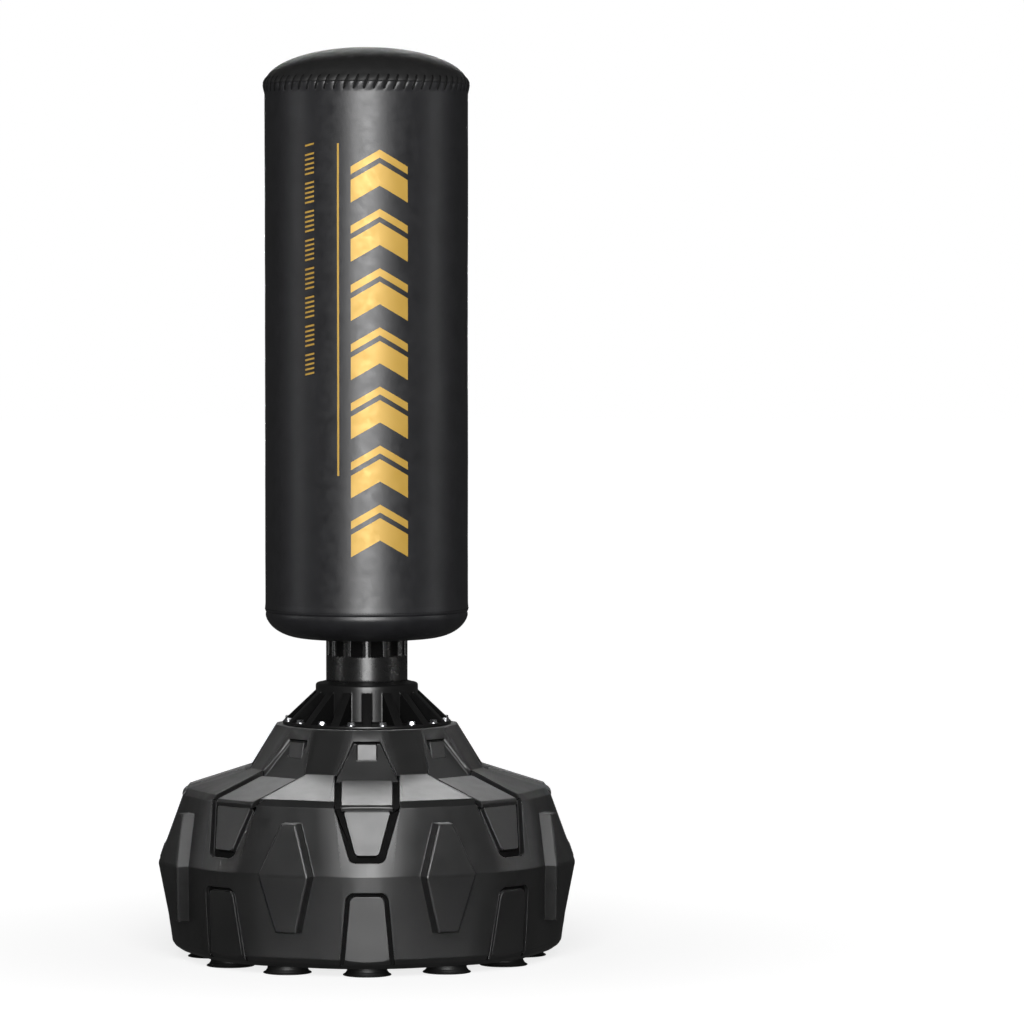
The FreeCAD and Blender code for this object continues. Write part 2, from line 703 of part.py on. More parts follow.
def dome_edge(inset):
    """Half-ellipse from the seam up to the small level spot, and that spot's edge, from the axis."""
    centre = V(0, 0, TOP_SEAM)
    wide = BAG_R - inset
    tall = TOTAL_H - TOP_SEAM - inset
    ellipse = Part.Ellipse(centre + V(wide, 0, 0), centre + V(0, 0, tall), centre)
    arc = ellipse.toShape(0, math.acos(DOME_FLAT / wide))
    top = arc.Vertexes[-1].Point
    return [arc, line(top.x, top.z, 0, top.z)], top.z


def cover_top():
    outside, high = dome_edge(0)
    inside, low = dome_edge(COVER_T)
    edges = outside + inside + [line(0, high, 0, low), line(BAG_R - COVER_T, TOP_SEAM, BAG_R, TOP_SEAM)]
    return [closed_turn(Part.__sortEdges__(edges))]


def top_pad():
    inset = COVER_T + GAP
    crown, tall = dome_edge(inset)
    low = TUBE_TOP + GAP
    edges = crown + [
        line(0, tall, 0, low), line(0, low, FOAM_R, low), line(FOAM_R, low, FOAM_R, TOP_SEAM),
        line(FOAM_R, TOP_SEAM, BAG_R - inset, TOP_SEAM),
    ]
    return [closed_turn(Part.__sortEdges__(edges))]


def support_disc():
    low = BAG_BOTTOM + COVER_T
    high = low + SUPPORT_T
    hole = MAST_R + GAP
    return [turned([(hole, low), (SUPPORT_FLAT_R, low), (SUPPORT_R, low + SUPPORT_EDGE), (SUPPORT_R, high),
                    (hole, high)])]


def inner_tube():
    return [tube(TUBE_R, TUBE_R - TUBE_T, BAG_BOTTOM + COVER_T + SUPPORT_T, TUBE_TOP)]


def tube_spacers():
    wide = TUBE_R - TUBE_T - GAP
    return [tube(wide, MAST_R + RUNNING, z, z + SPACER_H) for z in SPACER_LEVELS]


def foam_core():
    inside = TUBE_R + GAP
    low = BAG_BOTTOM + COVER_T + SUPPORT_T
    return [turned([(inside, low), (SUPPORT_R, low), (FOAM_R, BOTTOM_SEAM), (FOAM_R, TUBE_TOP),
                    (inside, TUBE_TOP)])]


def buffer_layer():
    return [tube(BUFFER_R, FOAM_R + 1, BOTTOM_SEAM, TOP_SEAM - 1)]


def top_lacing():
    lean = math.radians(LACE_LEAN)
    reach = BAG_R + LACE_R + 0.4
    foot = V(reach * math.sin(-lean), -reach * math.cos(lean), TOP_SEAM - LACE_RISE)
    head = V(reach * math.sin(lean), -reach * math.cos(lean), TOP_SEAM + LACE_RISE)
    along = head - foot
    lace = Part.makeCylinder(LACE_R, along.Length, foot, along)
    return around(lace, LACE_COUNT)


def zip_tape():
    ring = tube(BAG_R - TAPE_SINK, BAG_R - COVER_T, ZIP_BOTTOM, ZIP_TOP)
    half = ZIP_HALF - 0.1
    strip = box(-half, half, BAG_R / 2, 2 * BAG_R, ZIP_BOTTOM, ZIP_TOP)
    return [ring.common(strip)]


def zip_teeth():
    rows = int((ZIP_TOP - ZIP_BOTTOM - 2 * TEETH_SHY) / TOOTH_PITCH)
    first = box(-TOOTH_HALF, TOOTH_HALF, BAG_R - TAPE_SINK, BAG_R + TOOTH_TOP, 0, TOOTH_PITCH / 2)
    teeth = []
    for i in range(rows):
        tooth = first.copy()
        side = TOOTH_SHIFT if i % 2 else -TOOTH_SHIFT
        tooth.translate(V(side, 0, ZIP_BOTTOM + TEETH_SHY + i * TOOTH_PITCH))
        teeth.append(tooth)
    return teeth


def zip_slider():
    low = SLIDER_Z - SLIDER_HALF_L
    high = SLIDER_Z + SLIDER_HALF_L
    block = box(-SLIDER_HALF_W, SLIDER_HALF_W, BAG_R + GAP, BAG_R + SLIDER_T, low, high)
    long_edges = [e for e in block.Edges if e.Length > 2 * SLIDER_HALF_L - 1]
    block = block.makeFillet(1.5, long_edges)
    tunnel = box(-TUNNEL_HALF, TUNNEL_HALF, BAG_R, BAG_R + TUNNEL_T, low - 1, high + 1)
    ear = box(-1.6, 1.6, BAG_R + SLIDER_T - 1, PULL_PIN_Y + EYE_WALL, SLIDER_Z - 4, SLIDER_Z + 4)
    eye = Part.makeCylinder(EYE_R, 4 * PULL_HALF_W, V(-2 * PULL_HALF_W, PULL_PIN_Y, SLIDER_Z), V(1, 0, 0))
    return [block.cut(tunnel).fuse(ear).cut(eye)]


def zip_pull():
    """Tab hanging from the slider on its own cross pin."""
    pin_half = 3.6
    window = 5.5
    pin = Part.makeCylinder(PIN_R, 2 * pin_half, V(-pin_half, PULL_PIN_Y, SLIDER_Z), V(1, 0, 0))
    low_y = PULL_PIN_Y - PULL_HALF_T
    high_y = PULL_PIN_Y + PULL_HALF_T
    tab = box(-PULL_HALF_W, PULL_HALF_W, low_y, high_y, SLIDER_Z - PULL_L, SLIDER_Z + 2 * PULL_HALF_T)
    tab = tab.makeFillet(2.0, [e for e in tab.Edges if abs(e.Length - 2 * PULL_HALF_T) < 0.01])
    slot = box(-2.0, 2.0, low_y - 1, high_y + 1, SLIDER_Z - window, SLIDER_Z + window)
    return [tab.cut(slot).fuse(pin)]


# ---------------------------------------------------------------- nodes
NODES = {
    "base_tank": lambda: [base_tank()],
    "suction_cups": suction_cups,
    "cap_seal": cap_seal,
    "fill_cap": fill_cap,
    "lower_plate": lower_plate,
    "plate_bolts": plate_bolts,
    "lower_spring_seats": lower_seats,
    "cone_lower": cone_lower,
    "cone_washers": cone_washers,
    "cone_bolts": cone_bolts,
    "springs": springs,
    "damper_core": damper_core,
    "cone_upper": cone_upper,
    "upper_plate": upper_plate,
    "upper_spring_seats": upper_seats,
    "mast_tube": mast_tube,
    "mast_plug": mast_plug,
    "neck_collar": neck_collar,
    "support_disc": support_disc,
    "inner_tube": inner_tube,
    "tube_spacers": tube_spacers,
    "foam_core": foam_core,
    "buffer_layer": buffer_layer,
    "top_pad": top_pad,
    "cover_bottom": cover_bottom,
    "cover_body": cover_body,
    "cover_top": cover_top,
    "top_lacing": top_lacing,
    "zip_tape": zip_tape,
    "zip_teeth": zip_teeth,
    "zip_slider": zip_slider,
    "zip_pull": zip_pull,
}

os.makedirs("parts", exist_ok=True)
for name, make in NODES.items():
    solids = [solid for shape in make() for solid in shape.Solids]
    shape = solids[0] if len(solids) == 1 else Part.makeCompound(solids)
    shape.exportStep(os.path.join("parts", name + ".step"))
    print(name, len(solids), shape.isValid(), round(shape.Volume / 1000, 1))
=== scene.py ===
import json
import math
import random

import bmesh
import bpy
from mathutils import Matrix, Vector, noise
from mathutils.bvhtree import BVHTree

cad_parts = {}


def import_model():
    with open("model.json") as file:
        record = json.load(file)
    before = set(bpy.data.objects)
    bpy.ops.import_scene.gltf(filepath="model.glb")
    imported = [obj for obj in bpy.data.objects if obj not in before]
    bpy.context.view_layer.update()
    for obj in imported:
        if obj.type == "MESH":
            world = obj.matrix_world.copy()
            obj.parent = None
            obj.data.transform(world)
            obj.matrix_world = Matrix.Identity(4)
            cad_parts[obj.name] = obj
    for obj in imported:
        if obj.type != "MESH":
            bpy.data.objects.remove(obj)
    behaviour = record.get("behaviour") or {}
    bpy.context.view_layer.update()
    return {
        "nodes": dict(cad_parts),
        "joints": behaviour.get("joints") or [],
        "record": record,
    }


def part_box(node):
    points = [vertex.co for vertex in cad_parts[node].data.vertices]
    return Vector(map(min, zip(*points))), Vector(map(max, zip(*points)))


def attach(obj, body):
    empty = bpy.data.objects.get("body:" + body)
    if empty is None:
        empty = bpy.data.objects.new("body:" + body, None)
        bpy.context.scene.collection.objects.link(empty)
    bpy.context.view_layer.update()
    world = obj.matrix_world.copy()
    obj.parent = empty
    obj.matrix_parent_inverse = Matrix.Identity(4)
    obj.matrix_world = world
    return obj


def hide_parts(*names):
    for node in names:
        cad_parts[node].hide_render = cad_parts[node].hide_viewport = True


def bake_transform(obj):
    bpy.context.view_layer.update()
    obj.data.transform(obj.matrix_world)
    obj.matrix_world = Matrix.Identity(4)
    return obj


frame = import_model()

MM = 0.001
TAU = 2 * math.pi


# ---------------------------------------------------------------- places read from the frame
def node_low(name):
    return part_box(name)[0]


def node_high(name):
    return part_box(name)[1]


JOINTS = {joint["name"]: joint for joint in frame["joints"]}
TILT_Z = JOINTS["lean_side"]["pos_m"][2]
BAG_R = node_high("cover_body").x
TOP_SEAM = node_high("cover_body").z
BOTTOM_SEAM = node_low("cover_body").z
DOME_TOP = node_high("cover_top").z
BAG_BOTTOM = node_low("cover_bottom").z
LACE_COUNT = 64
CONE_FOOT = node_low("cone_lower").z
CONE_R = node_high("cone_lower").x
CONE_TOP = node_high("cone_upper").z
NECK_R = node_high("neck_collar").x
ZIP_LOW = node_low("zip_tape").z
ZIP_HIGH = node_high("zip_tape").z
ZIP_HALF = node_high("zip_tape").x


# ---------------------------------------------------------------- mesh helpers
def add_object(name, verts, faces, smooth=True):
    mesh = bpy.data.meshes.new(name)
    mesh.from_pydata([tuple(v) for v in verts], [], faces)
    mesh.validate()
    mesh.update()
    piece = bpy.data.objects.new(name, mesh)
    bpy.context.scene.collection.objects.link(piece)
    if smooth:
        mesh.shade_smooth()
    return piece


def piece_from(name, edit):
    """New piece from an edited mesh, which is freed."""
    mesh = bpy.data.meshes.new(name)
    edit.to_mesh(mesh)
    edit.free()
    piece = bpy.data.objects.new(name, mesh)
    bpy.context.scene.collection.objects.link(piece)
    return piece


def sharpen(piece, degrees):
    """Smooth shading with a crisp break at every edge steeper than this."""
    piece.data.shade_smooth()
    edit = bmesh.new()
    edit.from_mesh(piece.data)
    limit = math.radians(degrees)
    for edge in edit.edges:
        if len(edge.link_faces) == 2 and edge.calc_face_angle(0) > limit:
            edge.smooth = False
    edit.to_mesh(piece.data)
    edit.free()


def ring_faces(rings, count, wrap):
    """Quads between neighbouring rings of count points; wrap joins the last ring to the first."""
    faces = []
    pairs = rings if wrap else rings - 1
    for i in range(pairs):
        a = i * count
        b = ((i + 1) % rings) * count
        for j in range(count):
            k = (j + 1) % count
            faces.append((a + j, a + k, b + k, b + j))
    return faces


def loft(name, rings, wrap=True):
    verts = [v for ring in rings for v in ring]
    return add_object(name, verts, ring_faces(len(rings), len(rings[0]), wrap))


def polar(radius, angle, z):
    return Vector((radius * math.cos(angle), radius * math.sin(angle), z))


def circle(radius, z, count):
    return [polar(radius, TAU * i / count, z) for i in range(count)]


def smoothstep(low, high, value):
    t = min(1.0, max(0.0, (value - low) / (high - low)))
    return t * t * (3 - 2 * t)


def mix(a, b, t):
    return a + (b - a) * t


# ---------------------------------------------------------------- material helpers
class Shader:
    """A node material with one Principled shader, and short calls for what feeds it."""

    def __init__(self, name, colour, roughness, metallic=0.0, specular=0.5,
                 coat=0.0, coat_roughness=0.2, sheen=0.0):
        self.material = bpy.data.materials.new(name)
        self.material.use_nodes = True
        self.tree = self.material.node_tree
        self.surface = self.tree.nodes["Principled BSDF"]
        self.set("Base Color", (*colour, 1))
        self.set("Roughness", roughness)
        self.set("Metallic", metallic)
        self.set("Specular IOR Level", specular)
        self.set("Coat Weight", coat)
        self.set("Coat Roughness", coat_roughness)
        self.set("Sheen Weight", sheen)
        self.place = self.node("ShaderNodeTexCoord").outputs["Object"]

    def set(self, socket, value):
        self.surface.inputs[socket].default_value = value

    def node(self, kind, **sockets):
        made = self.tree.nodes.new(kind)
        for socket, value in sockets.items():
            made.inputs[socket].default_value = value
        return made

    def link(self, source, target):
        self.tree.links.new(source, target)

    def noise(self, scale, detail=4.0, rough=0.5):
        made = self.node("ShaderNodeTexNoise", Scale=scale, Detail=detail, Roughness=rough)
        self.link(self.place, made.inputs["Vector"])
        return made.outputs["Fac"]

    def cells(self, scale):
        made = self.node("ShaderNodeTexVoronoi", Scale=scale)
        self.link(self.place, made.inputs["Vector"])
        return made.outputs["Distance"]

    def stretched(self, scale_xyz, scale, detail=3.0):
        mapping = self.node("ShaderNodeMapping")
        mapping.inputs["Scale"].default_value = scale_xyz
        self.link(self.place, mapping.inputs["Vector"])
        made = self.node("ShaderNodeTexNoise", Scale=scale, Detail=detail)
        self.link(mapping.outputs["Vector"], made.inputs["Vector"])
        return made.outputs["Fac"]

    def remap(self, source, low, high, to_low, to_high):
        made = self.node("ShaderNodeMapRange")
        for index, value in enumerate((low, high, to_low, to_high), start=1):
            made.inputs[index].default_value = value
        self.link(source, made.inputs[0])
        return made.outputs[0]

    def tint(self, factor, first, second):
        made = self.node("ShaderNodeMix")
        made.data_type = "RGBA"
        made.inputs[6].default_value = (*first, 1)
        made.inputs[7].default_value = (*second, 1)
        self.link(factor, made.inputs[0])
        return made.outputs[2]

    def colour(self, source):
        self.link(source, self.surface.inputs["Base Color"])

    def rough(self, source):
        self.link(source, self.surface.inputs["Roughness"])

    def bump(self, height, strength, distance):
        made = self.node("ShaderNodeBump", Strength=strength, Distance=distance)
        self.link(height, made.inputs["Height"])
        if self.surface.inputs["Normal"].is_linked:
            self.link(self.surface.inputs["Normal"].links[0].from_socket, made.inputs["Normal"])
        self.link(made.outputs["Normal"], self.surface.inputs["Normal"])


def tank_material():
    shader = Shader("tank_plastic", (0.006, 0.006, 0.006), 0.34, specular=0.5)
    patches = shader.remap(shader.noise(9.0, 5.0), 0.35, 0.7, 0.0, 1.0)
    shader.colour(shader.tint(patches, (0.005, 0.005, 0.005), (0.008, 0.008, 0.008)))
    shader.rough(shader.remap(shader.noise(35.0, 6.0), 0.3, 0.7, 0.30, 0.38))
    shader.bump(shader.noise(900.0, 2.0), 0.25, 0.0002)
    shader.bump(shader.noise(14.0, 2.0), 0.15, 0.004)
    return shader.material


def painted_shade_material():
    """Much darker and rougher plastic for faces deep in grooves and slots: the darker colour is painted
    shade, and the rough, weak gloss keeps them from shining.
    """
    shader = Shader("painted_shade_plastic", (0.002, 0.002, 0.002), 0.8, specular=0.06)
    shader.rough(shader.remap(shader.noise(60.0, 4.0), 0.3, 0.7, 0.72, 0.9))
    shader.bump(shader.noise(900.0, 2.0), 0.3, 0.0002)
    return shader.material


def leather_material(name, colour, roughness, coat, specular=0.5):
    shader = Shader(name, colour, roughness, specular=specular, coat=coat, coat_roughness=0.3)
    lighter = tuple(channel * 1.5 for channel in colour)
    shader.colour(shader.tint(shader.remap(shader.noise(28.0, 6.0), 0.3, 0.75, 0.0, 1.0), colour, lighter))
    shader.rough(shader.remap(shader.noise(60.0, 4.0), 0.3, 0.7, roughness - 0.05, roughness + 0.07))
    pebbles = shader.remap(shader.cells(620.0), 0.0, 0.75, 1.0, 0.0)
    shader.bump(pebbles, 0.22, 0.0003)
    shader.bump(shader.noise(180.0, 3.0), 0.12, 0.0006)
    return shader.material


def rubber_material(name, roughness):
    shader = Shader(name, (0.006, 0.006, 0.006), roughness, specular=0.5)
    shader.rough(shader.remap(shader.noise(70.0, 3.0), 0.3, 0.75, roughness - 0.01, roughness + 0.05))
    shader.colour(shader.tint(shader.noise(22.0, 3.0), (0.005, 0.005, 0.005), (0.008, 0.008, 0.008)))
    shader.bump(shader.noise(500.0, 2.0), 0.05, 0.0002)
    return shader.material


def metal_material(name, colour, roughness):
    shader = Shader(name, colour, roughness, metallic=1.0)
    darker = tuple(channel * 0.75 for channel in colour)
    shader.colour(shader.tint(shader.noise(260.0, 5.0), darker, colour))
    shader.rough(shader.remap(shader.noise(420.0, 4.0), 0.3, 0.7, roughness - 0.07, roughness + 0.1))
    shader.bump(shader.stretched((1, 1, 9), 300.0), 0.06, 0.0002)
    return shader.material


def painted_material(name, colour):
    shader = Shader(name, colour, 0.45, specular=0.5)
    shader.rough(shader.remap(shader.noise(120.0, 4.0), 0.3, 0.7, 0.38, 0.55))
    shader.bump(shader.noise(1400.0, 2.0), 0.25, 0.0002)
    return shader.material


def fabric_material(name, colour):
    shader = Shader(name, colour, 0.85, specular=0.25, sheen=0.3)
    darker = tuple(channel * 0.8 for channel in colour)
    lighter = tuple(channel * 1.2 for channel in colour)
    shader.colour(shader.tint(shader.noise(300.0, 5.0), darker, lighter))
    shader.bump(shader.stretched((1, 1, 0.25), 1500.0), 0.5, 0.0004)
    return shader.material


def foam_material():
    shader = Shader("foam", (0.72, 0.72, 0.69), 0.8, specular=0.3)
    shader.bump(shader.cells(260.0), 0.4, 0.0015)
    return shader.material


def wood_material():
    shader = Shader("support_wood", (0.50, 0.36, 0.22), 0.6)
    grain = shader.stretched((12, 1, 1), 25.0, 6.0)
    shader.colour(shader.tint(grain, (0.36, 0.24, 0.13), (0.58, 0.43, 0.27)))
    shader.bump(grain, 0.2, 0.0005)
    return shader.material


def print_material():
    shader = Shader("gold_print", (0.46, 0.27, 0.04), 0.45, metallic=0.2, specular=0.4)
    shader.colour(shader.tint(shader.noise(5.0, 3.0), (0.37, 0.22, 0.030), (0.46, 0.29, 0.062)))
    shader.rough(shader.remap(shader.noise(90.0, 4.0), 0.3, 0.7, 0.36, 0.50))
    shader.bump(shader.noise(180.0, 3.0), 0.10, 0.0005)
    return shader.material


MATERIALS = {
    "tank_plastic": tank_material(),
    "painted_shade_plastic": painted_shade_material(),
    "cup_rubber": rubber_material("cup_rubber", 0.5),
    "seal_rubber": rubber_material("seal_rubber", 0.6),
    "cap_plastic": painted_material("cap_plastic", (0.022, 0.022, 0.024)),
    "plate_steel": painted_material("plate_steel", (0.03, 0.03, 0.033)),
    "bolt_zinc": metal_material("bolt_zinc", (0.74, 0.75, 0.77), 0.28),
    "spring_steel": metal_material("spring_steel", (0.10, 0.10, 0.11), 0.4),
    "damper_rubber": rubber_material("damper_rubber", 0.3),
    "core_rubber": rubber_material("core_rubber", 0.6),
    "neck_rubber": rubber_material("neck_rubber", 0.26),
    "tube_plastic": painted_material("tube_plastic", (0.55, 0.55, 0.53)),
    "spacer_plastic": painted_material("spacer_plastic", (0.18, 0.18, 0.18)),
    "support_wood": wood_material(),
    "foam": foam_material(),
    "buffer_felt": fabric_material("buffer_felt", (0.30, 0.30, 0.31)),
    "cover_leather": leather_material("cover_leather", (0.008, 0.008, 0.009), 0.40, 0.1),
    "top_leather": leather_material("top_leather", (0.006, 0.006, 0.006), 0.62, 0.0),
    "lace_leather": leather_material("lace_leather", (0.004, 0.004, 0.004), 0.6, 0.0, 0.1),
    "zip_fabric": fabric_material("zip_fabric", (0.012, 0.012, 0.013)),
    "zip_metal": metal_material("zip_metal", (0.30, 0.30, 0.31), 0.33),
}


def dress(piece, slot, body, *nodes, paint=None):
    """Material, finish slot, body and the CAD nodes that a new piece stands for."""
    piece.data.materials.clear()
    piece.data.materials.append(paint or MATERIALS[slot])
    if body:
        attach(piece, body)
    if nodes:
        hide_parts(*nodes)
    return piece


def paint_cad_nodes():
    for subpart in frame["record"]["subparts"]:
        node = frame["nodes"][subpart["node"]]
        for place in node.material_slots:
            place.material = MATERIALS[subpart["material_slot"]]


# ---------------------------------------------------------------- base tank
REPEATS = 8                 # tread pattern repeats round the base
PITCH = TAU / REPEATS
EQUATOR_Z = 183 * MM        # height of the widest ring
LUG_REACH = 376 * MM        # at the equator, anything further out belongs to a lug
LUG_SLOPE = 0.2             # how fast that limit falls above and below the equator
GROOVE_LOOK = 25 * MM       # how near the walls of a groove are
LOOKS = 8                   # ways out tried from each face
LOOKS_SHUT = 4              # so many of them end at a wall inside a groove
EDGE_ANGLE = math.radians(14)
LUG_EDGE = 4.2 * MM         # rounding of the lugs' outer edges
PLAIN_EDGE = 1.5 * MM       # rounding of all other edges
NEEDLE = math.radians(20)   # sharper corners than this can't be rounded cleanly


def meets_tank(tree, start, normal):
    """How many of several ways out, each well off the normal, soon meet the tank again."""
    side = normal.orthogonal().normalized()
    other = normal.cross(side)
    hits = 0
    for i in range(LOOKS):
        turn = TAU * i / LOOKS
        way = (normal * 0.6 + side * math.cos(turn) + other * math.sin(turn)).normalized()
        if tree.ray_cast(start + normal * 0.2 * MM, way, GROOVE_LOOK)[0]:
            hits += 1
    return hits


def upright_wall(face):
    """Whether a face looks sideways along the tread, as the long walls of its grooves do."""
    middle = face.calc_center_median()
    azimuth = round(math.atan2(middle.y, middle.x) / PITCH) * PITCH
    sideways = Vector((-math.sin(azimuth), math.cos(azimuth), 0.0))
    return abs(face.normal.dot(sideways)) > 0.5


def groove_faces(edit):
    """Which floors and ends of grooves mostly look at other walls, in the order of the faces; these get
    painted shade.
    """
    tree = BVHTree.FromBMesh(edit)
    closed = {}
    for triangle in edit.calc_loop_triangles():
        face = triangle[0].face
        a, b, c = (loop.vert.co for loop in triangle)
        area = (b - a).cross(c - a).length / 2
        if meets_tank(tree, (a + b + c) / 3, face.normal) >= LOOKS_SHUT:
            closed[face] = closed.get(face, 0.0) + area
    return [closed.get(face, 0.0) > 0.5 * face.calc_area() and not upright_wall(face)
            for face in edit.faces]


def needle_end(edge):
    """Whether a face beside the edge runs out to a needle point at one of its ends."""
    loops = [loop for face in edge.link_faces for loop in face.loops if loop.vert in edge.verts]
    return any(loop.calc_angle() < NEEDLE for loop in loops)


def on_lug(vert):
    """Whether a corner stands out from the lands, along the middle of the nearest one."""
    turn = (math.atan2(vert.co.y, vert.co.x) % PITCH) - PITCH / 2
    reach = math.hypot(vert.co.x, vert.co.y) * math.cos(turn)
    return reach > LUG_REACH - LUG_SLOPE * abs(vert.co.z - EQUATOR_Z)


def weigh_edges(edit):
    """Mark the edges to round: fully on the lugs, less elsewhere, and not beside needle points."""
    weight = edit.edges.layers.float.new("bevel_weight_edge")
    for edge in edit.edges:
        if len(edge.link_faces) == 2 and edge.calc_face_angle(0) > EDGE_ANGLE and not needle_end(edge):
            edge[weight] = 1.0 if all(on_lug(vert) for vert in edge.verts) else PLAIN_EDGE / LUG_EDGE


def tank():
    """The moulded shell with its edges rounded as a mould leaves them, and painted shade: faces deep in its
    grooves get the much darker plastic.
    """
    edit = bmesh.new()
    edit.from_mesh(frame["nodes"]["base_tank"].data)
    bmesh.ops.remove_doubles(edit, verts=edit.verts, dist=0.05 * MM)
    bmesh.ops.dissolve_limit(edit, angle_limit=math.radians(1.0), verts=edit.verts, edges=edit.edges)
    edit.normal_update()
    painted_shade_faces = groove_faces(edit)
    weigh_edges(edit)
    piece = piece_from("tank_shell", edit)
    bevel = piece.modifiers.new("rounded edges", "BEVEL")
    bevel.width = LUG_EDGE
    bevel.segments = 3
    bevel.limit_method = "WEIGHT"
    bevel.use_clamp_overlap = False
    piece.data.shade_smooth()
    flat = piece.modifiers.new("flat facets", "WEIGHTED_NORMAL")
    flat.mode = "FACE_AREA"
    flat.weight = 80
    dress(piece, "tank_plastic", "base", "base_tank")
    # Faces deep in the grooves get the much darker plastic: painted shade.
    piece.data.materials.append(MATERIALS["painted_shade_plastic"])
    for face, groove in zip(piece.data.polygons, painted_shade_faces):
        face.material_index = 1 if groove else 0
    return piece


# ---------------------------------------------------------------- finned rings
def finned_ring(z, count, valley, steps, fillet=1.6 * MM, crown=1.6 * MM, valley_points=4):
    """One level of a body with count fins: valley radius, and (half-width, reach) steps, wide to narrow."""
    half_side = []
    floor = valley
    for half, reach in steps:
        reach = max(reach, floor)
        rise = reach - floor
        half_side.append((half + fillet, floor))
        half_side.append((half + 0.25 * fillet, floor + min(0.3 * fillet, 0.3 * rise)))
        half_side.append((half, floor + min(fillet, 0.5 * rise)))
        half_side.append((half, reach - min(crown, 0.4 * rise)))
        half_side.append((half - 0.3 * crown, reach - min(0.3 * crown, 0.12 * rise)))
        half_side.append((half - crown, reach))
        floor = reach
    side = half_side + [(0.0, floor)] + [(-lateral, radius) for lateral, radius in reversed(half_side)]
    ring = []
    start = -math.asin(min(0.95, half_side[0][0] / valley))
    for i in range(count):
        axis = TAU * i / count
        for step in range(valley_points):
            angle = axis - math.pi / count + (step / valley_points) * (start + math.pi / count)
            ring.append(polar(valley, angle, z))
        for lateral, radius in side:
            lateral = -lateral
            along = math.sqrt(max(radius * radius - lateral * lateral, 0.0))
            x = along * math.cos(axis) - lateral * math.sin(axis)
            y = along * math.sin(axis) + lateral * math.cos(axis)
            ring.append(Vector((x, y, z)))
        for step in range(valley_points - 1):
            angle = axis - start + ((step + 1) / valley_points) * (math.pi / count + start)
            ring.append(polar(valley, angle, z))
    return ring


FIN_COUNT = 16
FIN_HALF = 8.3 * MM
FIN_TOP_Z = 485 * MM
FIN_FILLET = 0.8 * MM       # at the fins' roots
FIN_CROWN = 1.1 * MM        # along their outer edges
DRUM_TOP = 494 * MM
DRUM_R = 93 * MM
DRUM_BORE = 83 * MM
DRUM_ROUND = 5 * MM
MAST_BORE = 31 * MM
WEB_Z = 494.3 * MM          # underside of the web that rests on the upper plate
FLANGE_TOP = CONE_FOOT + 6 * MM
CREASE = 40                 # edges steeper than this many degrees stay crisp
# Flange levels above the cone's foot, with how far the rim stands in; then levels of the fins.
FLANGE_RIM = ((0.0, -1.5), (1.0, -0.4), (2.5, 0.0), (4.0, 0.0), (5.3, -0.5), (6.0, -1.6))
LOWER_LEVELS = (6.3, 7.0, 8.5, 10.5, 13.0, 17.0, 21.0, 25.0, 29.0, 33.5)
# Levels above the floor: up the fins and over their tops, then round the drum's shoulder.
UPPER_LEVELS = (466, 470, 474, 478, 481, 483, 484.6, 485.4)
SHOULDER_LEVELS = (489, 494, 495.5, 497, 498.2, 498.9, 499.3, 500.5, 502)


def drum_radius(z):
    """The drum is a plain cylinder with a soft root and a rounded shoulder under the neck."""
    if z < FLANGE_TOP + DRUM_ROUND:
        t = (z - FLANGE_TOP) / DRUM_ROUND
        return DRUM_R + DRUM_ROUND * (1 - t) ** 2
    if z <= DRUM_TOP:
        return DRUM_R
    if z < DRUM_TOP + DRUM_ROUND:
        t = (z - DRUM_TOP) / DRUM_ROUND
        return DRUM_R - DRUM_ROUND * (1 - math.sqrt(1 - t * t))
    slope = smoothstep(DRUM_TOP + DRUM_ROUND, CONE_TOP, z)
    return mix(DRUM_R - DRUM_ROUND - 3 * MM, NECK_R + 0.5 * MM, slope)


def cone_ring(z, hub):
    fin = mix(CONE_R - 1.5 * MM, DRUM_R + 0.4 * MM, (z - FLANGE_TOP) / (FIN_TOP_Z - FLANGE_TOP))
    reach = max(hub, fin) if z < FIN_TOP_Z else hub
    return finned_ring(z, FIN_COUNT, hub, [(FIN_HALF, reach)], FIN_FILLET, FIN_CROWN)


def paint_shade_on_fin_sides(piece):
    """Paint shade on the walls between the fins with the much darker plastic, so that only the fins' thin
    edges shine.
    """
    piece.data.materials.append(MATERIALS["painted_shade_plastic"])
    for face in piece.data.polygons:
        outward = Vector((face.center.x, face.center.y, 0.0)).normalized()
        if abs(face.normal.dot(outward)) < 0.45 and abs(face.normal.z) < 0.45:
            face.material_index = 1


def bore_ring(z, radius):
    """A plain circle with the same points as a finned ring, so that the two can be joined."""
    return finned_ring(z, FIN_COUNT, radius, [(FIN_HALF, 0.0)], FIN_FILLET, FIN_CROWN)


def cone_lower():
    """Flange and fins up to the tilt centre."""
    rings = [bore_ring(CONE_FOOT + level * MM, CONE_R + inset * MM) for level, inset in FLANGE_RIM]
    for z in [CONE_FOOT + level * MM for level in LOWER_LEVELS] + [TILT_Z]:
        rings.append(cone_ring(z, drum_radius(z)))
    for z in (TILT_Z, mix(TILT_Z, CONE_FOOT, 0.5), CONE_FOOT):
        rings.append(bore_ring(z, DRUM_BORE))
    piece = loft("damper_cone_lower", rings)
    dress(piece, "damper_rubber", None, "cone_lower")
    paint_shade_on_fin_sides(piece)
    sharpen(piece, CREASE)
    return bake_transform(piece)


def cone_upper():
    """Fins from the tilt centre to their tops, and the drum's shoulder."""
    levels = [TILT_Z] + [level * MM for level in UPPER_LEVELS + SHOULDER_LEVELS] + [CONE_TOP]
    rings = [cone_ring(z, drum_radius(z)) for z in levels]
    bore = ((MAST_BORE, CONE_TOP), (MAST_BORE, WEB_Z), (DRUM_BORE, WEB_Z), (DRUM_BORE, 478 * MM),
            (DRUM_BORE, TILT_Z))
    rings += [bore_ring(z, radius) for radius, z in bore]
    piece = loft("damper_cone_upper", rings)
    dress(piece, "damper_rubber", None, "cone_upper")
    paint_shade_on_fin_sides(piece)
    sharpen(piece, CREASE)
    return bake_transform(piece)


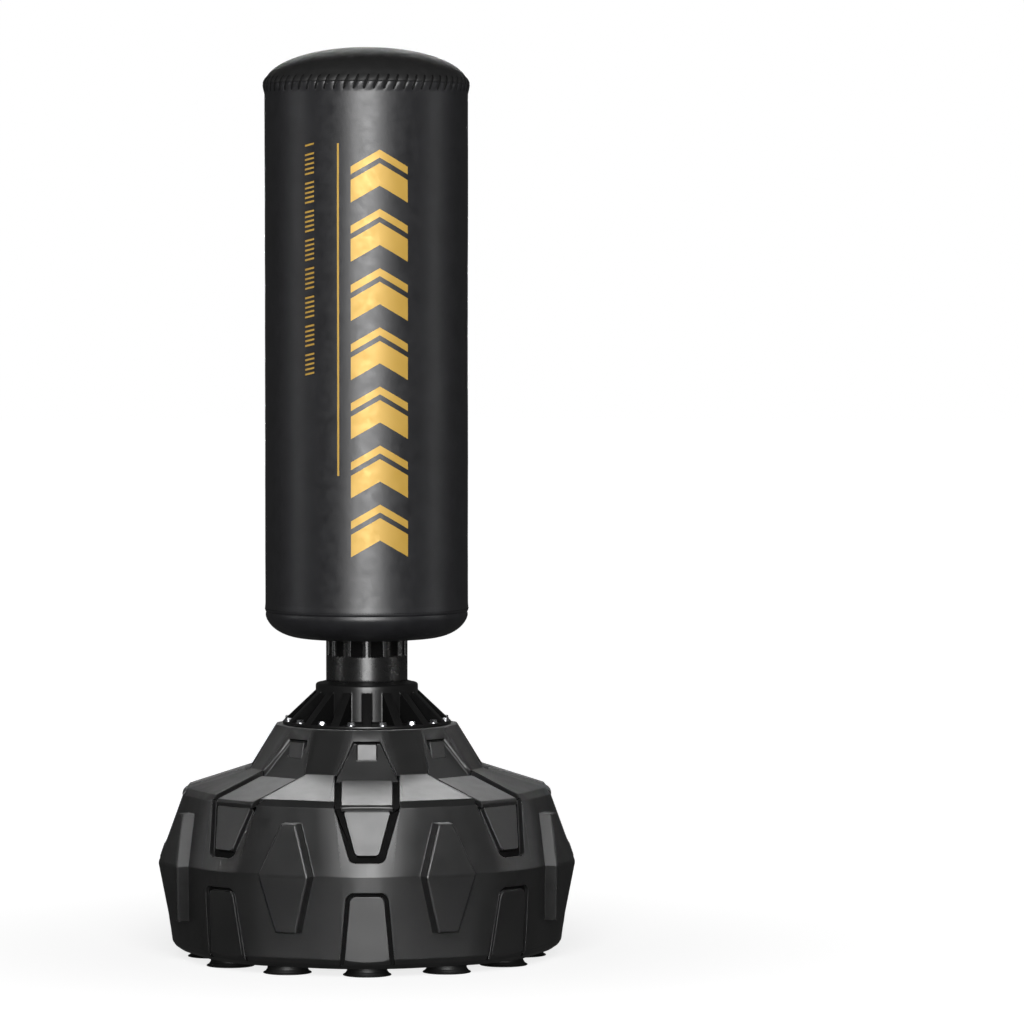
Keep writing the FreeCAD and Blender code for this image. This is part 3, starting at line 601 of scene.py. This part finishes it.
def bent_half(node, slot, upper):
    """Half of a part that bends with the damper, cut off at the tilt centre."""
    source = frame["nodes"][node]
    edit = bmesh.new()
    edit.from_mesh(source.data)
    edit.transform(source.matrix_world)
    bmesh.ops.remove_doubles(edit, verts=edit.verts, dist=0.02 * MM)
    everything = edit.verts[:] + edit.edges[:] + edit.faces[:]
    bmesh.ops.bisect_plane(edit, geom=everything, plane_co=(0, 0, TILT_Z), plane_no=(0, 0, 1),
                           clear_inner=upper, clear_outer=not upper)
    rim = [edge for edge in edit.edges if edge.is_boundary]
    bmesh.ops.triangle_fill(edit, use_beauty=True, edges=rim, normal=(0, 0, -1 if upper else 1))
    piece = piece_from(node + ("_upper" if upper else "_lower"), edit)
    sharpen(piece, CREASE)
    dress(piece, slot, None, node)
    if upper:
        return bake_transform(piece)
    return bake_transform(piece)


# ---------------------------------------------------------------- neck
RIB_COUNT = 12
RIB_BAND_Z = 548 * MM       # the slotted band starts here
RIB_HALF = 7.6 * MM
BEAD_HALF = 3.6 * MM
COLLAR_WALL = 13 * MM
COLLAR_FLOOR = 8 * MM
SLEEVE_R = 30.1 * MM        # bore of the sleeve round the mast
SLEEVE_T = 5 * MM


def rib_ring(z, valley, rib_rise, bead_rise):
    steps = [(RIB_HALF, valley + rib_rise), (BEAD_HALF, valley + rib_rise + bead_rise)]
    return finned_ring(z, RIB_COUNT, valley, steps, 0.7 * MM, 0.8 * MM, 3)


def neck():
    """Smooth sleeve with a slotted band of beaded ribs above it."""
    def ring(z, sink, rib_rise=0.0, bead_rise=0.0):
        return rib_ring(z, NECK_R - sink * MM, rib_rise * MM, bead_rise * MM)

    low = CONE_TOP
    rings = [ring(low, 1.2), ring(low + 0.5 * MM, 0.4), ring(low + 1.2 * MM, 0)]
    rings += [ring(mix(low, RIB_BAND_Z, t), 0) for t in (0.1, 0.3, 0.5, 0.7, 0.9, 0.97)]
    rings += [ring(RIB_BAND_Z, 0.4, 0.2, 0.2), ring(RIB_BAND_Z + 0.6 * MM, 2.5, 1.4, 1.1)]
    for z in (RIB_BAND_Z + 1.4 * MM, RIB_BAND_Z + 3 * MM, mix(RIB_BAND_Z, BAG_BOTTOM, 0.5), BAG_BOTTOM):
        rings.append(ring(z, 6.0, 4.3, 1.7))
    inner = NECK_R - COLLAR_WALL
    outer = SLEEVE_R + SLEEVE_T
    floor = low + COLLAR_FLOOR
    sleeve_top = BAG_BOTTOM - 5 * MM
    for radius, z in ((inner, BAG_BOTTOM), (inner, floor), (outer, floor), (outer, sleeve_top),
                      (SLEEVE_R, sleeve_top), (SLEEVE_R, low)):
        rings.append(rib_ring(z, radius, 0, 0))
    piece = loft("neck_sleeve", rings)
    sharpen(piece, CREASE)
    dress(piece, "neck_rubber", "bag", "neck_collar")
    # The floors of the slots between the ribs get the much darker plastic: painted shade.
    piece.data.materials.append(MATERIALS["painted_shade_plastic"])
    for face in piece.data.polygons:
        slot_floor = face.center.xy.length < NECK_R - 4.5 * MM
        if slot_floor and face.center.z > RIB_BAND_Z:
            face.material_index = 1
    return piece


# ---------------------------------------------------------------- leather cover
COLUMNS = LACE_COUNT * 12
LACE_RISE = 15.5 * MM       # half the height of a lace
LACE_LEAN = math.radians(1.7)
COVER_T = 2.4 * MM
SKIN_R = BAG_R - 0.6 * MM   # plain radius of the leather, under its waves
BULGE = 3.4 * MM            # rise of the pillows between the laces
ZIP_END = 2 * MM            # the slot for the zip runs this far past its tape
ROLL_W = 73 * MM            # width of the rolled lower edge
MAST_HOLE_R = 32 * MM


def lace_phase(angle, z):
    """Place between laces, from -0.5 to 0.5, where 0 is on a lace; the laces lean."""
    turn = angle - LACE_LEAN * (z - TOP_SEAM) / LACE_RISE
    phase = turn / TAU * LACE_COUNT
    return phase - round(phase)


def pucker(angle, z):
    """Pillow of leather between neighbouring laces, above and below the seam."""
    away = (z - TOP_SEAM) / (1.2 * LACE_RISE)
    if abs(away) >= 1.0:
        return 0.0
    phase = abs(lace_phase(angle, z))
    pillow = math.sqrt(1 - (1 - 2 * phase) ** 2)
    swell = math.cos(away * math.pi / 2) ** 1.3
    seam = 0.4 * MM * math.exp(-((z - TOP_SEAM) / (1.0 * MM)) ** 2)
    return swell * (BULGE * pillow - 0.5 * MM * (1 - pillow)) - seam


def soft_wave(angle, z, size, seed):
    """Smooth swells of the leather, about as wide as size."""
    return noise.noise(polar(BAG_R / size, angle, z / size + seed))


def swell_at(z, middle, spread, height):
    """Bell-shaped swell round the bag, centred on one height."""
    return height * math.exp(-((z - middle) / spread) ** 2)


def body_radius(angle, z):
    """Outside of the body panel: waves, hem, roll over the hem, pillows at the top and a slot for the zip."""
    wave = 0.55 * MM * soft_wave(angle, z * 0.45, 0.11, 3.0) + 0.2 * MM * soft_wave(angle, z, 0.04, 9.0)
    hem = swell_at(z, BOTTOM_SEAM, 1.6 * MM, -1.3 * MM)
    roll = swell_at(z, BOTTOM_SEAM + 7 * MM, 6 * MM, 0.7 * MM)
    radius = SKIN_R + wave + hem + roll + pucker(angle, z)
    from_zip = abs(BAG_R * math.cos(angle)) if math.sin(angle) > 0 else BAG_R
    if from_zip < ZIP_HALF + 10 * MM and ZIP_LOW - ZIP_END < z < ZIP_HIGH + ZIP_END:
        lip = smoothstep(ZIP_HALF - 0.6 * MM, ZIP_HALF + 0.8 * MM, from_zip)
        radius = mix(BAG_R - COVER_T + 0.25 * MM, BAG_R - 0.1 * MM, lip)
    return radius


def body_levels():
    """Heights of the rings: close at both seams and at the zip's ends, wide between."""
    levels = [BOTTOM_SEAM + step * MM for step in (0, 1.2, 2.4, 4, 6, 9, 13, 18)]
    low = levels[-1]
    high = TOP_SEAM - 40 * MM
    plain = 46
    laced = 26
    levels += [mix(low, high, (i + 1) / plain) for i in range(plain)]
    levels += [mix(high, TOP_SEAM, (i + 1) / laced) for i in range(laced)]
    step = 0.1 * MM
    for end in (ZIP_LOW - ZIP_END, ZIP_HIGH + ZIP_END):
        levels += [end - step, end + step]
    return sorted(set(levels))


def cover_body():
    """Body panel, which stands for the felt and the foam behind it as well."""
    angles = [TAU * i / COLUMNS for i in range(COLUMNS)]
    rings = [[polar(body_radius(angle, z), angle, z) for angle in angles] for z in body_levels()]
    inside = BAG_R - COVER_T
    rings.append(circle(inside, TOP_SEAM, COLUMNS))
    rings.append(circle(inside, BOTTOM_SEAM, COLUMNS))
    piece = loft("cover_panel", rings)
    dress(piece, "cover_leather", "bag", "cover_body", "buffer_layer", "foam_core")
    return piece


RIM_RUN = 0.42              # distance over the rim per radian of sweep, in bag radii


def dome_profile(sweep):
    """Radius and height of the plain dome, a quarter of an ellipse."""
    return SKIN_R * math.cos(sweep), TOP_SEAM + (DOME_TOP - TOP_SEAM) * math.sin(sweep)


def dome_point(angle, t):
    """Point of the domed top: t runs from 0 at the seam to 1 near the middle."""
    sweep = t * math.pi / 2
    wide, z = dome_profile(sweep)
    push = pucker(angle, TOP_SEAM + RIM_RUN * BAG_R * sweep)
    wave = 0.9 * MM * soft_wave(angle, z, 0.07, 17.0) * math.sin(math.pi * min(1.0, t * 1.2))
    return polar(wide + push * math.cos(sweep), angle, z + wave + push * math.sin(sweep))


def cover_top():
    """Domed panel: fine columns along the laced rim, coarser ones above it."""
    verts = []
    faces = []
    fine = [i / 60.0 for i in range(0, 15)]
    coarse = [0.25 + 0.74 * (i + 1) / 22 for i in range(22)]
    step = 4
    for t in fine:
        verts += [dome_point(TAU * i / COLUMNS, t) for i in range(COLUMNS)]
    faces += ring_faces(len(fine), COLUMNS, False)
    few = COLUMNS // step
    base = len(verts)
    for t in coarse:
        verts += [dome_point(TAU * i / few, t) for i in range(few)]
    faces += [tuple(base + v for v in face) for face in ring_faces(len(coarse), few, False)]
    last_fine = base - COLUMNS
    for j in range(few):
        k = (j + 1) % few
        run = [last_fine + (j * step + i) % COLUMNS for i in range(step + 1)]
        faces.append(tuple(run + [base + k, base + j]))
    top = len(verts)
    verts.append(Vector((0, 0, DOME_TOP)))
    rim = top - few
    faces += [(rim + j, rim + (j + 1) % few, top) for j in range(few)]
    under = len(verts)
    verts += circle(BAG_R - COVER_T, TOP_SEAM, COLUMNS)
    faces += [((i + 1) % COLUMNS, i, under + i, under + (i + 1) % COLUMNS) for i in range(COLUMNS)]
    inner_high = len(verts)
    verts += circle(BAG_R * 0.8, mix(TOP_SEAM, DOME_TOP, 0.5), COLUMNS)
    faces += [(under + (i + 1) % COLUMNS, under + i, inner_high + i, inner_high + (i + 1) % COLUMNS)
              for i in range(COLUMNS)]
    faces.append(tuple(inner_high + i for i in range(COLUMNS)))
    piece = add_object("top_panel", verts, faces)
    dress(piece, "top_leather", "bag", "cover_top", "top_pad")
    return piece


def cover_bottom():
    """Rolled lower edge and flat underside."""
    count = 288
    wide = ROLL_W
    deep = BOTTOM_SEAM - BAG_BOTTOM
    centre = BAG_R - wide
    rings = []
    steps = 26
    for i in range(steps + 1):
        t = i / steps * math.pi / 2
        ring = []
        for j in range(count):
            angle = TAU * j / count
            hem = -1.5 * MM * math.exp(-(i / 1.1) ** 2)
            wave = 0.5 * MM * soft_wave(angle, t * 0.2, 0.09, 31.0) * math.sin(2 * t)
            radius = centre + wide * math.cos(t) + hem - 0.5 * MM * math.cos(t) + wave
            ring.append(polar(radius, angle, BOTTOM_SEAM - deep * math.sin(t)))
        rings.append(ring)
    for radius, z in ((0.09, 0.0), (MAST_HOLE_R, 0.0), (MAST_HOLE_R, COVER_T), (centre, COVER_T)):
        rings.append(circle(radius, BAG_BOTTOM + z, count))
    for i in range(1, 7):
        t = math.pi / 2 * (1 - i / 6)
        radius = centre + (wide - COVER_T) * math.cos(t)
        rings.append(circle(radius, BOTTOM_SEAM - (deep - COVER_T) * math.sin(t), count))
    piece = loft("bottom_panel", rings)
    sharpen(piece, 60)
    dress(piece, "cover_leather", "bag", "cover_bottom")
    return piece


# ---------------------------------------------------------------- lacing and stitches
def strand(points, normals, width, thick, sides=8):
    """Closed flattened strand along points, its flat side turned to the normals."""
    verts = []
    faces = []
    for i, (point, normal) in enumerate(zip(points, normals)):
        along = (points[min(i + 1, len(points) - 1)] - points[max(i - 1, 0)]).normalized()
        across = along.cross(normal).normalized()
        end = 0.45 if i in (0, len(points) - 1) else 1.0
        for s in range(sides):
            a = TAU * s / sides
            sideways = across * math.cos(a) * width / 2 * end
            verts.append(point + sideways + normal * math.sin(a) * thick / 2 * end)
    faces += ring_faces(len(points), sides, False)
    faces.append(tuple(reversed(range(sides))))
    faces.append(tuple(range((len(points) - 1) * sides, len(points) * sides)))
    return verts, faces


def gather(name, parts):
    verts = []
    faces = []
    for part_verts, part_faces in parts:
        base = len(verts)
        verts += part_verts
        faces += [tuple(base + v for v in face) for face in part_faces]
    return add_object(name, verts, faces)


def lacing():
    """Leather whip stitch: each lace dives into the panel below the seam and into the top above it."""
    rng = random.Random(5)
    parts = []
    count = 11
    for lace in range(LACE_COUNT):
        middle = TAU * lace / LACE_COUNT
        jitter = rng.uniform(-0.08, 0.08)
        points = []
        normals = []
        for i in range(count):
            t = i / (count - 1) * 2 - 1
            angle = middle + LACE_LEAN * t + jitter * LACE_LEAN
            z = TOP_SEAM + LACE_RISE * t * (1 + 0.05 * jitter)
            if z > TOP_SEAM:
                sweep = (z - TOP_SEAM) / (BAG_R * RIM_RUN)
                skin, z = dome_profile(sweep)
                out = Vector((math.cos(sweep), 0, math.sin(sweep)))
            else:
                skin = SKIN_R
                out = Vector((1, 0, 0))
            lift = 1.3 * MM * (1 - t * t) + 0.4 * MM - 1.2 * MM * t ** 6
            facing = Vector((math.cos(angle) * out.x, math.sin(angle) * out.x, out.z))
            points.append(polar(skin, angle, z) + facing * lift)
            normals.append(facing)
        parts.append(strand(points, normals, rng.uniform(4.0, 4.5) * MM, 2.0 * MM))
    piece = gather("top_whip_stitch", parts)
    return dress(piece, "lace_leather", "bag", "top_lacing")


STITCH_PITCH = 5.2 * MM
STITCH_L = 3.6 * MM
STITCH_W = 0.9 * MM


def stitch(centre, along, normal, length, width):
    points = []
    for i in range(5):
        t = i / 4 - 0.5
        points.append(centre + along * length * t + normal * (0.35 * MM * (1 - 7.0 * t * t)))
    return strand(points, [normal] * 5, width, width * 0.8, 6)


def seam_stitches():
    """Thread rows: round the bottom edge, and down both sides of the zip."""
    parts = []
    count = int(TAU * BAG_R / STITCH_PITCH)
    z = BOTTOM_SEAM + 6 * MM
    for i in range(count):
        angle = TAU * i / count
        out = polar(1.0, angle, 0.0)
        along = Vector((-out.y, out.x, 0.0))
        parts.append(stitch(out * body_radius(angle, z) + Vector((0, 0, z)), along, out, STITCH_L, STITCH_W))
    for x in (-ZIP_HALF - 5 * MM, ZIP_HALF + 5 * MM):
        angle = math.acos(x / BAG_R)
        out = Vector((math.cos(angle), math.sin(angle), 0))
        rows = int((ZIP_HIGH - ZIP_LOW) / STITCH_PITCH)
        for i in range(rows):
            z = ZIP_LOW + (i + 0.5) * STITCH_PITCH
            centre = out * (BAG_R - 0.1 * MM) + Vector((0, 0, z))
            parts.append(stitch(centre, Vector((0, 0, 1)), out, STITCH_L, STITCH_W))
    piece = gather("seam_stitches", parts)
    return dress(piece, "lace_leather", "bag")


# ---------------------------------------------------------------- print
PRINT_LIFT = 0.35 * MM


def on_bag(across, z, lift):
    """Point on the bag: across is the arc length from the front, towards +X."""
    angle = -math.pi / 2 + across / BAG_R
    radius = body_radius(angle, z) + lift
    return Vector((radius * math.cos(angle), radius * math.sin(angle), z))


def patch(corners):
    """Thin printed plate between (across, height) corners, anticlockwise from the lower left."""
    (ax, az), (bx, bz), (cx, cz), (dx, dz) = corners
    wide = max(2, int(max(abs(bx - ax), abs(cx - dx)) / (5 * MM)) + 1)
    tall = max(2, int(max(abs(dz - az), abs(cz - bz)) / (18 * MM)) + 1)
    verts = []
    for lift in (PRINT_LIFT, -0.3 * MM):
        for i in range(tall + 1):
            v = i / tall
            for j in range(wide + 1):
                u = j / wide
                across = mix(mix(ax, bx, u), mix(dx, cx, u), v)
                z = mix(mix(az, bz, u), mix(dz, cz, u), v)
                verts.append(on_bag(across, z, lift))
    row = wide + 1
    sheet = row * (tall + 1)
    faces = []
    for i in range(tall):
        for j in range(wide):
            a = i * row + j
            faces.append((a, a + 1, a + row + 1, a + row))
            faces.append((sheet + a + row, sheet + a + row + 1, sheet + a + 1, sheet + a))
    rim = [j for j in range(row)] + [i * row + wide for i in range(1, tall + 1)]
    rim += [tall * row + j for j in range(wide - 1, -1, -1)] + [i * row for i in range(tall - 1, 0, -1)]
    for a, b in zip(rim, rim[1:] + rim[:1]):
        faces.append((b, a, sheet + a, sheet + b))
    return verts, faces


def chevron(left, right, low, height, thick):
    """Two slanted bars that meet in the middle and point up."""
    middle = (left + right) / 2
    first = [(left, low), (middle, low + height), (middle, low + height + thick), (left, low + thick)]
    second = [(middle, low + height), (right, low), (right, low + thick), (middle, low + height + thick)]
    return [patch(first), patch(second)]


def bag_print():
    """Generic gold graphics: a tall column of chevrons, a thin rule and a column of short dashes."""
    parts = []
    left = -0.028
    right = 0.076
    low = 0.735
    high = 1.472
    count = 7
    pitch = (high - low) / count
    for i in range(count):
        foot = low + i * pitch
        parts += chevron(left, right, foot, 0.030, 0.040)
        parts += chevron(left, right, foot + 0.050, 0.030, 0.014)
    parts.append(patch([(-0.0530, 0.88), (-0.0495, 0.88), (-0.0495, high), (-0.0530, high)]))
    z = 1.05
    group = 0
    while z < high:
        if group % 6:
            parts.append(patch([(-0.117, z), (-0.098, z + 0.004),
                                (-0.098, z + 0.0072), (-0.117, z + 0.0032)]))
        z += 0.0085
        group += 1
    piece = gather("gold_print", parts)
    sharpen(piece, 50)
    dress(piece, "cover_leather", "bag", paint=print_material())
    return piece


# ---------------------------------------------------------------- zip
def zip_chain():
    """Two rows of small interlocking teeth on a woven tape."""
    parts = []
    pitch = 3.0 * MM
    rows = int((ZIP_HIGH - ZIP_LOW - 20 * MM) / pitch)
    low = ZIP_LOW + 10 * MM
    for i in range(rows):
        side = 1 if i % 2 else -1
        z = low + i * pitch
        y = BAG_R + 0.45 * MM
        points = [Vector((side * (x * MM), y, z)) for x in (-0.5, 0.2, 1.2, 2.3)]
        parts.append(strand(points, [Vector((0, 1, 0))] * 4, 1.9 * MM, 1.7 * MM, 6))
    piece = gather("zip_chain", parts)
    return dress(piece, "zip_metal", "bag", "zip_teeth")


def round_edges(name, width, segments=2):
    node = frame["nodes"][name]
    weld = node.modifiers.new("weld", "WELD")
    weld.merge_threshold = 0.02 * MM
    bevel = node.modifiers.new("rounded edges", "BEVEL")
    bevel.width = width
    bevel.segments = segments
    bevel.limit_method = "ANGLE"
    bevel.angle_limit = math.radians(35)


# ---------------------------------------------------------------- stage, lights, camera
def flat_material(name, colour, emission=0.0):
    material = bpy.data.materials.new(name)
    material.use_nodes = True
    surface = material.node_tree.nodes["Principled BSDF"]
    surface.inputs["Base Color"].default_value = (*colour, 1)
    surface.inputs["Roughness"].default_value = 0.9
    surface.inputs["Specular IOR Level"].default_value = 0.0
    surface.inputs["Emission Color"].default_value = (1, 1, 1, 1)
    surface.inputs["Emission Strength"].default_value = emission
    return material


def seen_by_camera_only(piece):
    piece.visible_diffuse = False
    piece.visible_glossy = False
    piece.visible_transmission = False
    piece.visible_shadow = False


def floor_material():
    """Pale paper near the object, which fades into the white of the backdrop further out."""
    material = flat_material("floor_paper", (0.30, 0.30, 0.30))
    tree = material.node_tree
    place = tree.nodes.new("ShaderNodeTexCoord")
    distance = tree.nodes.new("ShaderNodeVectorMath")
    distance.operation = "LENGTH"
    tree.links.new(place.outputs["Object"], distance.inputs[0])
    fade = tree.nodes.new("ShaderNodeMapRange")
    for index, value in enumerate((0.4, 1.6, 0.80, 1.0), start=1):
        fade.inputs[index].default_value = value
    tree.links.new(distance.outputs["Value"], fade.inputs[0])
    tree.links.new(fade.outputs[0], tree.nodes["Principled BSDF"].inputs["Emission Strength"])
    return material


def stage():
    """White paper floor inside a white dome; neither lights the object."""
    reach = 40.0
    count = 96
    floor = add_object("floor", circle(reach, 0.0, count), [tuple(range(count))], smooth=False)
    floor.data.materials.append(floor_material())
    rings = [circle(reach * math.cos(t), reach * math.sin(t) - 0.5, count)
             for t in (math.pi / 2 * step / 24 for step in range(24))]
    rings.append(circle(0.01, reach - 0.5, count))
    dome = loft("backdrop", rings, wrap=False)
    dome.data.materials.append(flat_material("backdrop_paper", (0, 0, 0), 1.0))
    for piece in (floor, dome):
        seen_by_camera_only(piece)


WORLD = 0.05                # strength of the even light from all round


def world():
    scene_world = bpy.data.worlds.new("studio")
    scene_world.use_nodes = True
    background = scene_world.node_tree.nodes["Background"]
    background.inputs["Color"].default_value = (1, 1, 1, 1)
    background.inputs["Strength"].default_value = WORLD
    bpy.context.scene.world = scene_world
    bpy.context.scene.view_settings.view_transform = "Standard"


def softbox(name, azimuth, elevation, distance, width, height, radiance, centre_z=0.9):
    """Rectangular lamp round the object: azimuth 0 is the camera's side, positive towards +X."""
    data = bpy.data.lights.new(name, "AREA")
    data.shape = "RECTANGLE"
    data.size = width
    data.size_y = height
    data.energy = radiance * width * height * math.pi
    lamp = bpy.data.objects.new(name, data)
    bpy.context.scene.collection.objects.link(lamp)
    a = math.radians(azimuth)
    e = math.radians(elevation)
    middle = Vector((0, 0, centre_z))
    away = Vector((math.sin(a) * math.cos(e), -math.cos(a) * math.cos(e), math.sin(e)))
    lamp.location = middle + away * distance
    lamp.rotation_euler = (-away).to_track_quat("-Z", "Y").to_euler()
    lamp.visible_camera = False
    return lamp


def only_for(lamp, pieces, blockers=()):
    """The lamp lights these pieces alone; if blockers are given, only they cast its shadows."""
    lamp.data.cycles.use_multiple_importance_sampling = False
    group = bpy.data.collections.new(lamp.name + " pieces")
    for piece in pieces:
        group.objects.link(piece)
    lamp.light_linking.receiver_collection = group
    if blockers:
        shades = bpy.data.collections.new(lamp.name + " shades")
        for piece in blockers:
            shades.objects.link(piece)
        lamp.light_linking.blocker_collection = shades


def lights(base_pieces, cone_pieces, bag_pieces):
    """One large front lamp for everything, and weaker ones that light the base or the bag alone."""
    softbox("front strip", 0, 0, 5.6, 2.5, 4.7, 14.0, 2.05)
    low = softbox("low front", 0, 0, 5.6, 2.5, 2.2, 4.6, -1.4)
    only_for(low, base_pieces, base_pieces)
    for side in (-1, 1):
        lamp = softbox("side lamp %+d" % side, 82 * side, 8, 4.5, 1.1, 3.4, 1.5)
        only_for(lamp, base_pieces + bag_pieces)
    for side in (-1, 1):
        back = softbox("back lamp %+d" % side, 135 * side, 26, 4.5, 1.3, 1.5, 0.4, 0.2)
        only_for(back, base_pieces)
        corner = softbox("corner lamp %+d" % side, 37 * side, 38, 4.5, 0.9, 0.8, 7.0, 0.2)
        only_for(corner, base_pieces)
        under = softbox("low corner lamp %+d" % side, 38 * side, -27, 4.5, 0.9, 0.8, 4.0, 0.2)
        only_for(under, base_pieces, base_pieces)
        beside = softbox("wide lamp %+d" % side, 20 * side, 27, 4.5, 1.0, 1.9, 4.5, 0.2)
        only_for(beside, base_pieces, base_pieces)
        fill = softbox("side fill %+d" % side, 106 * side, 22, 4.5, 2.6, 3.0, 0.6, 0.2)
        only_for(fill, base_pieces)
    top = softbox("back top", 180, 50, 5.0, 2.3, 2.4, 5.4, 0.33)
    only_for(top, base_pieces, cone_pieces[:1])
    fill = softbox("back fill", 180, 26, 5.0, 3.2, 1.8, 0.45, 0.33)
    only_for(fill, base_pieces, cone_pieces[:1])
    behind = softbox("behind the bag", 180, 14, 5.0, 2.0, 3.0, 8.0, 1.1)
    only_for(behind, bag_pieces)


def camera():
    """Long lens at chest height, in front of the bag, aimed a little to its right."""
    data = bpy.data.cameras.new("camera")
    data.sensor_width = 36.0
    data.lens = 193.7
    data.clip_end = 200.0
    lens_body = bpy.data.objects.new("camera", data)
    bpy.context.scene.collection.objects.link(lens_body)
    place = Vector((0.0, -10.0, 1.22))
    aim = Vector((0.264, 0.0, 0.808))
    lens_body.location = place
    lens_body.rotation_euler = (aim - place).to_track_quat("-Z", "Y").to_euler()
    bpy.context.scene.camera = lens_body


# ---------------------------------------------------------------- build
paint_cad_nodes()
tank_shell = tank()
cone_pieces = [cone_lower(), cone_upper()]
for bending, finish in (("springs", "spring_steel"), ("damper_core", "core_rubber")):
    for upper in (False, True):
        bent_half(bending, finish, upper)
bag_pieces = [neck(), cover_body(), cover_top(), cover_bottom(), lacing(), seam_stitches(), bag_print()]
bag_pieces.append(zip_chain())
for small in ("fill_cap", "zip_slider", "zip_pull"):
    round_edges(small, 0.4 * MM)
stage()
world()
lights([tank_shell], cone_pieces, bag_pieces)
camera()
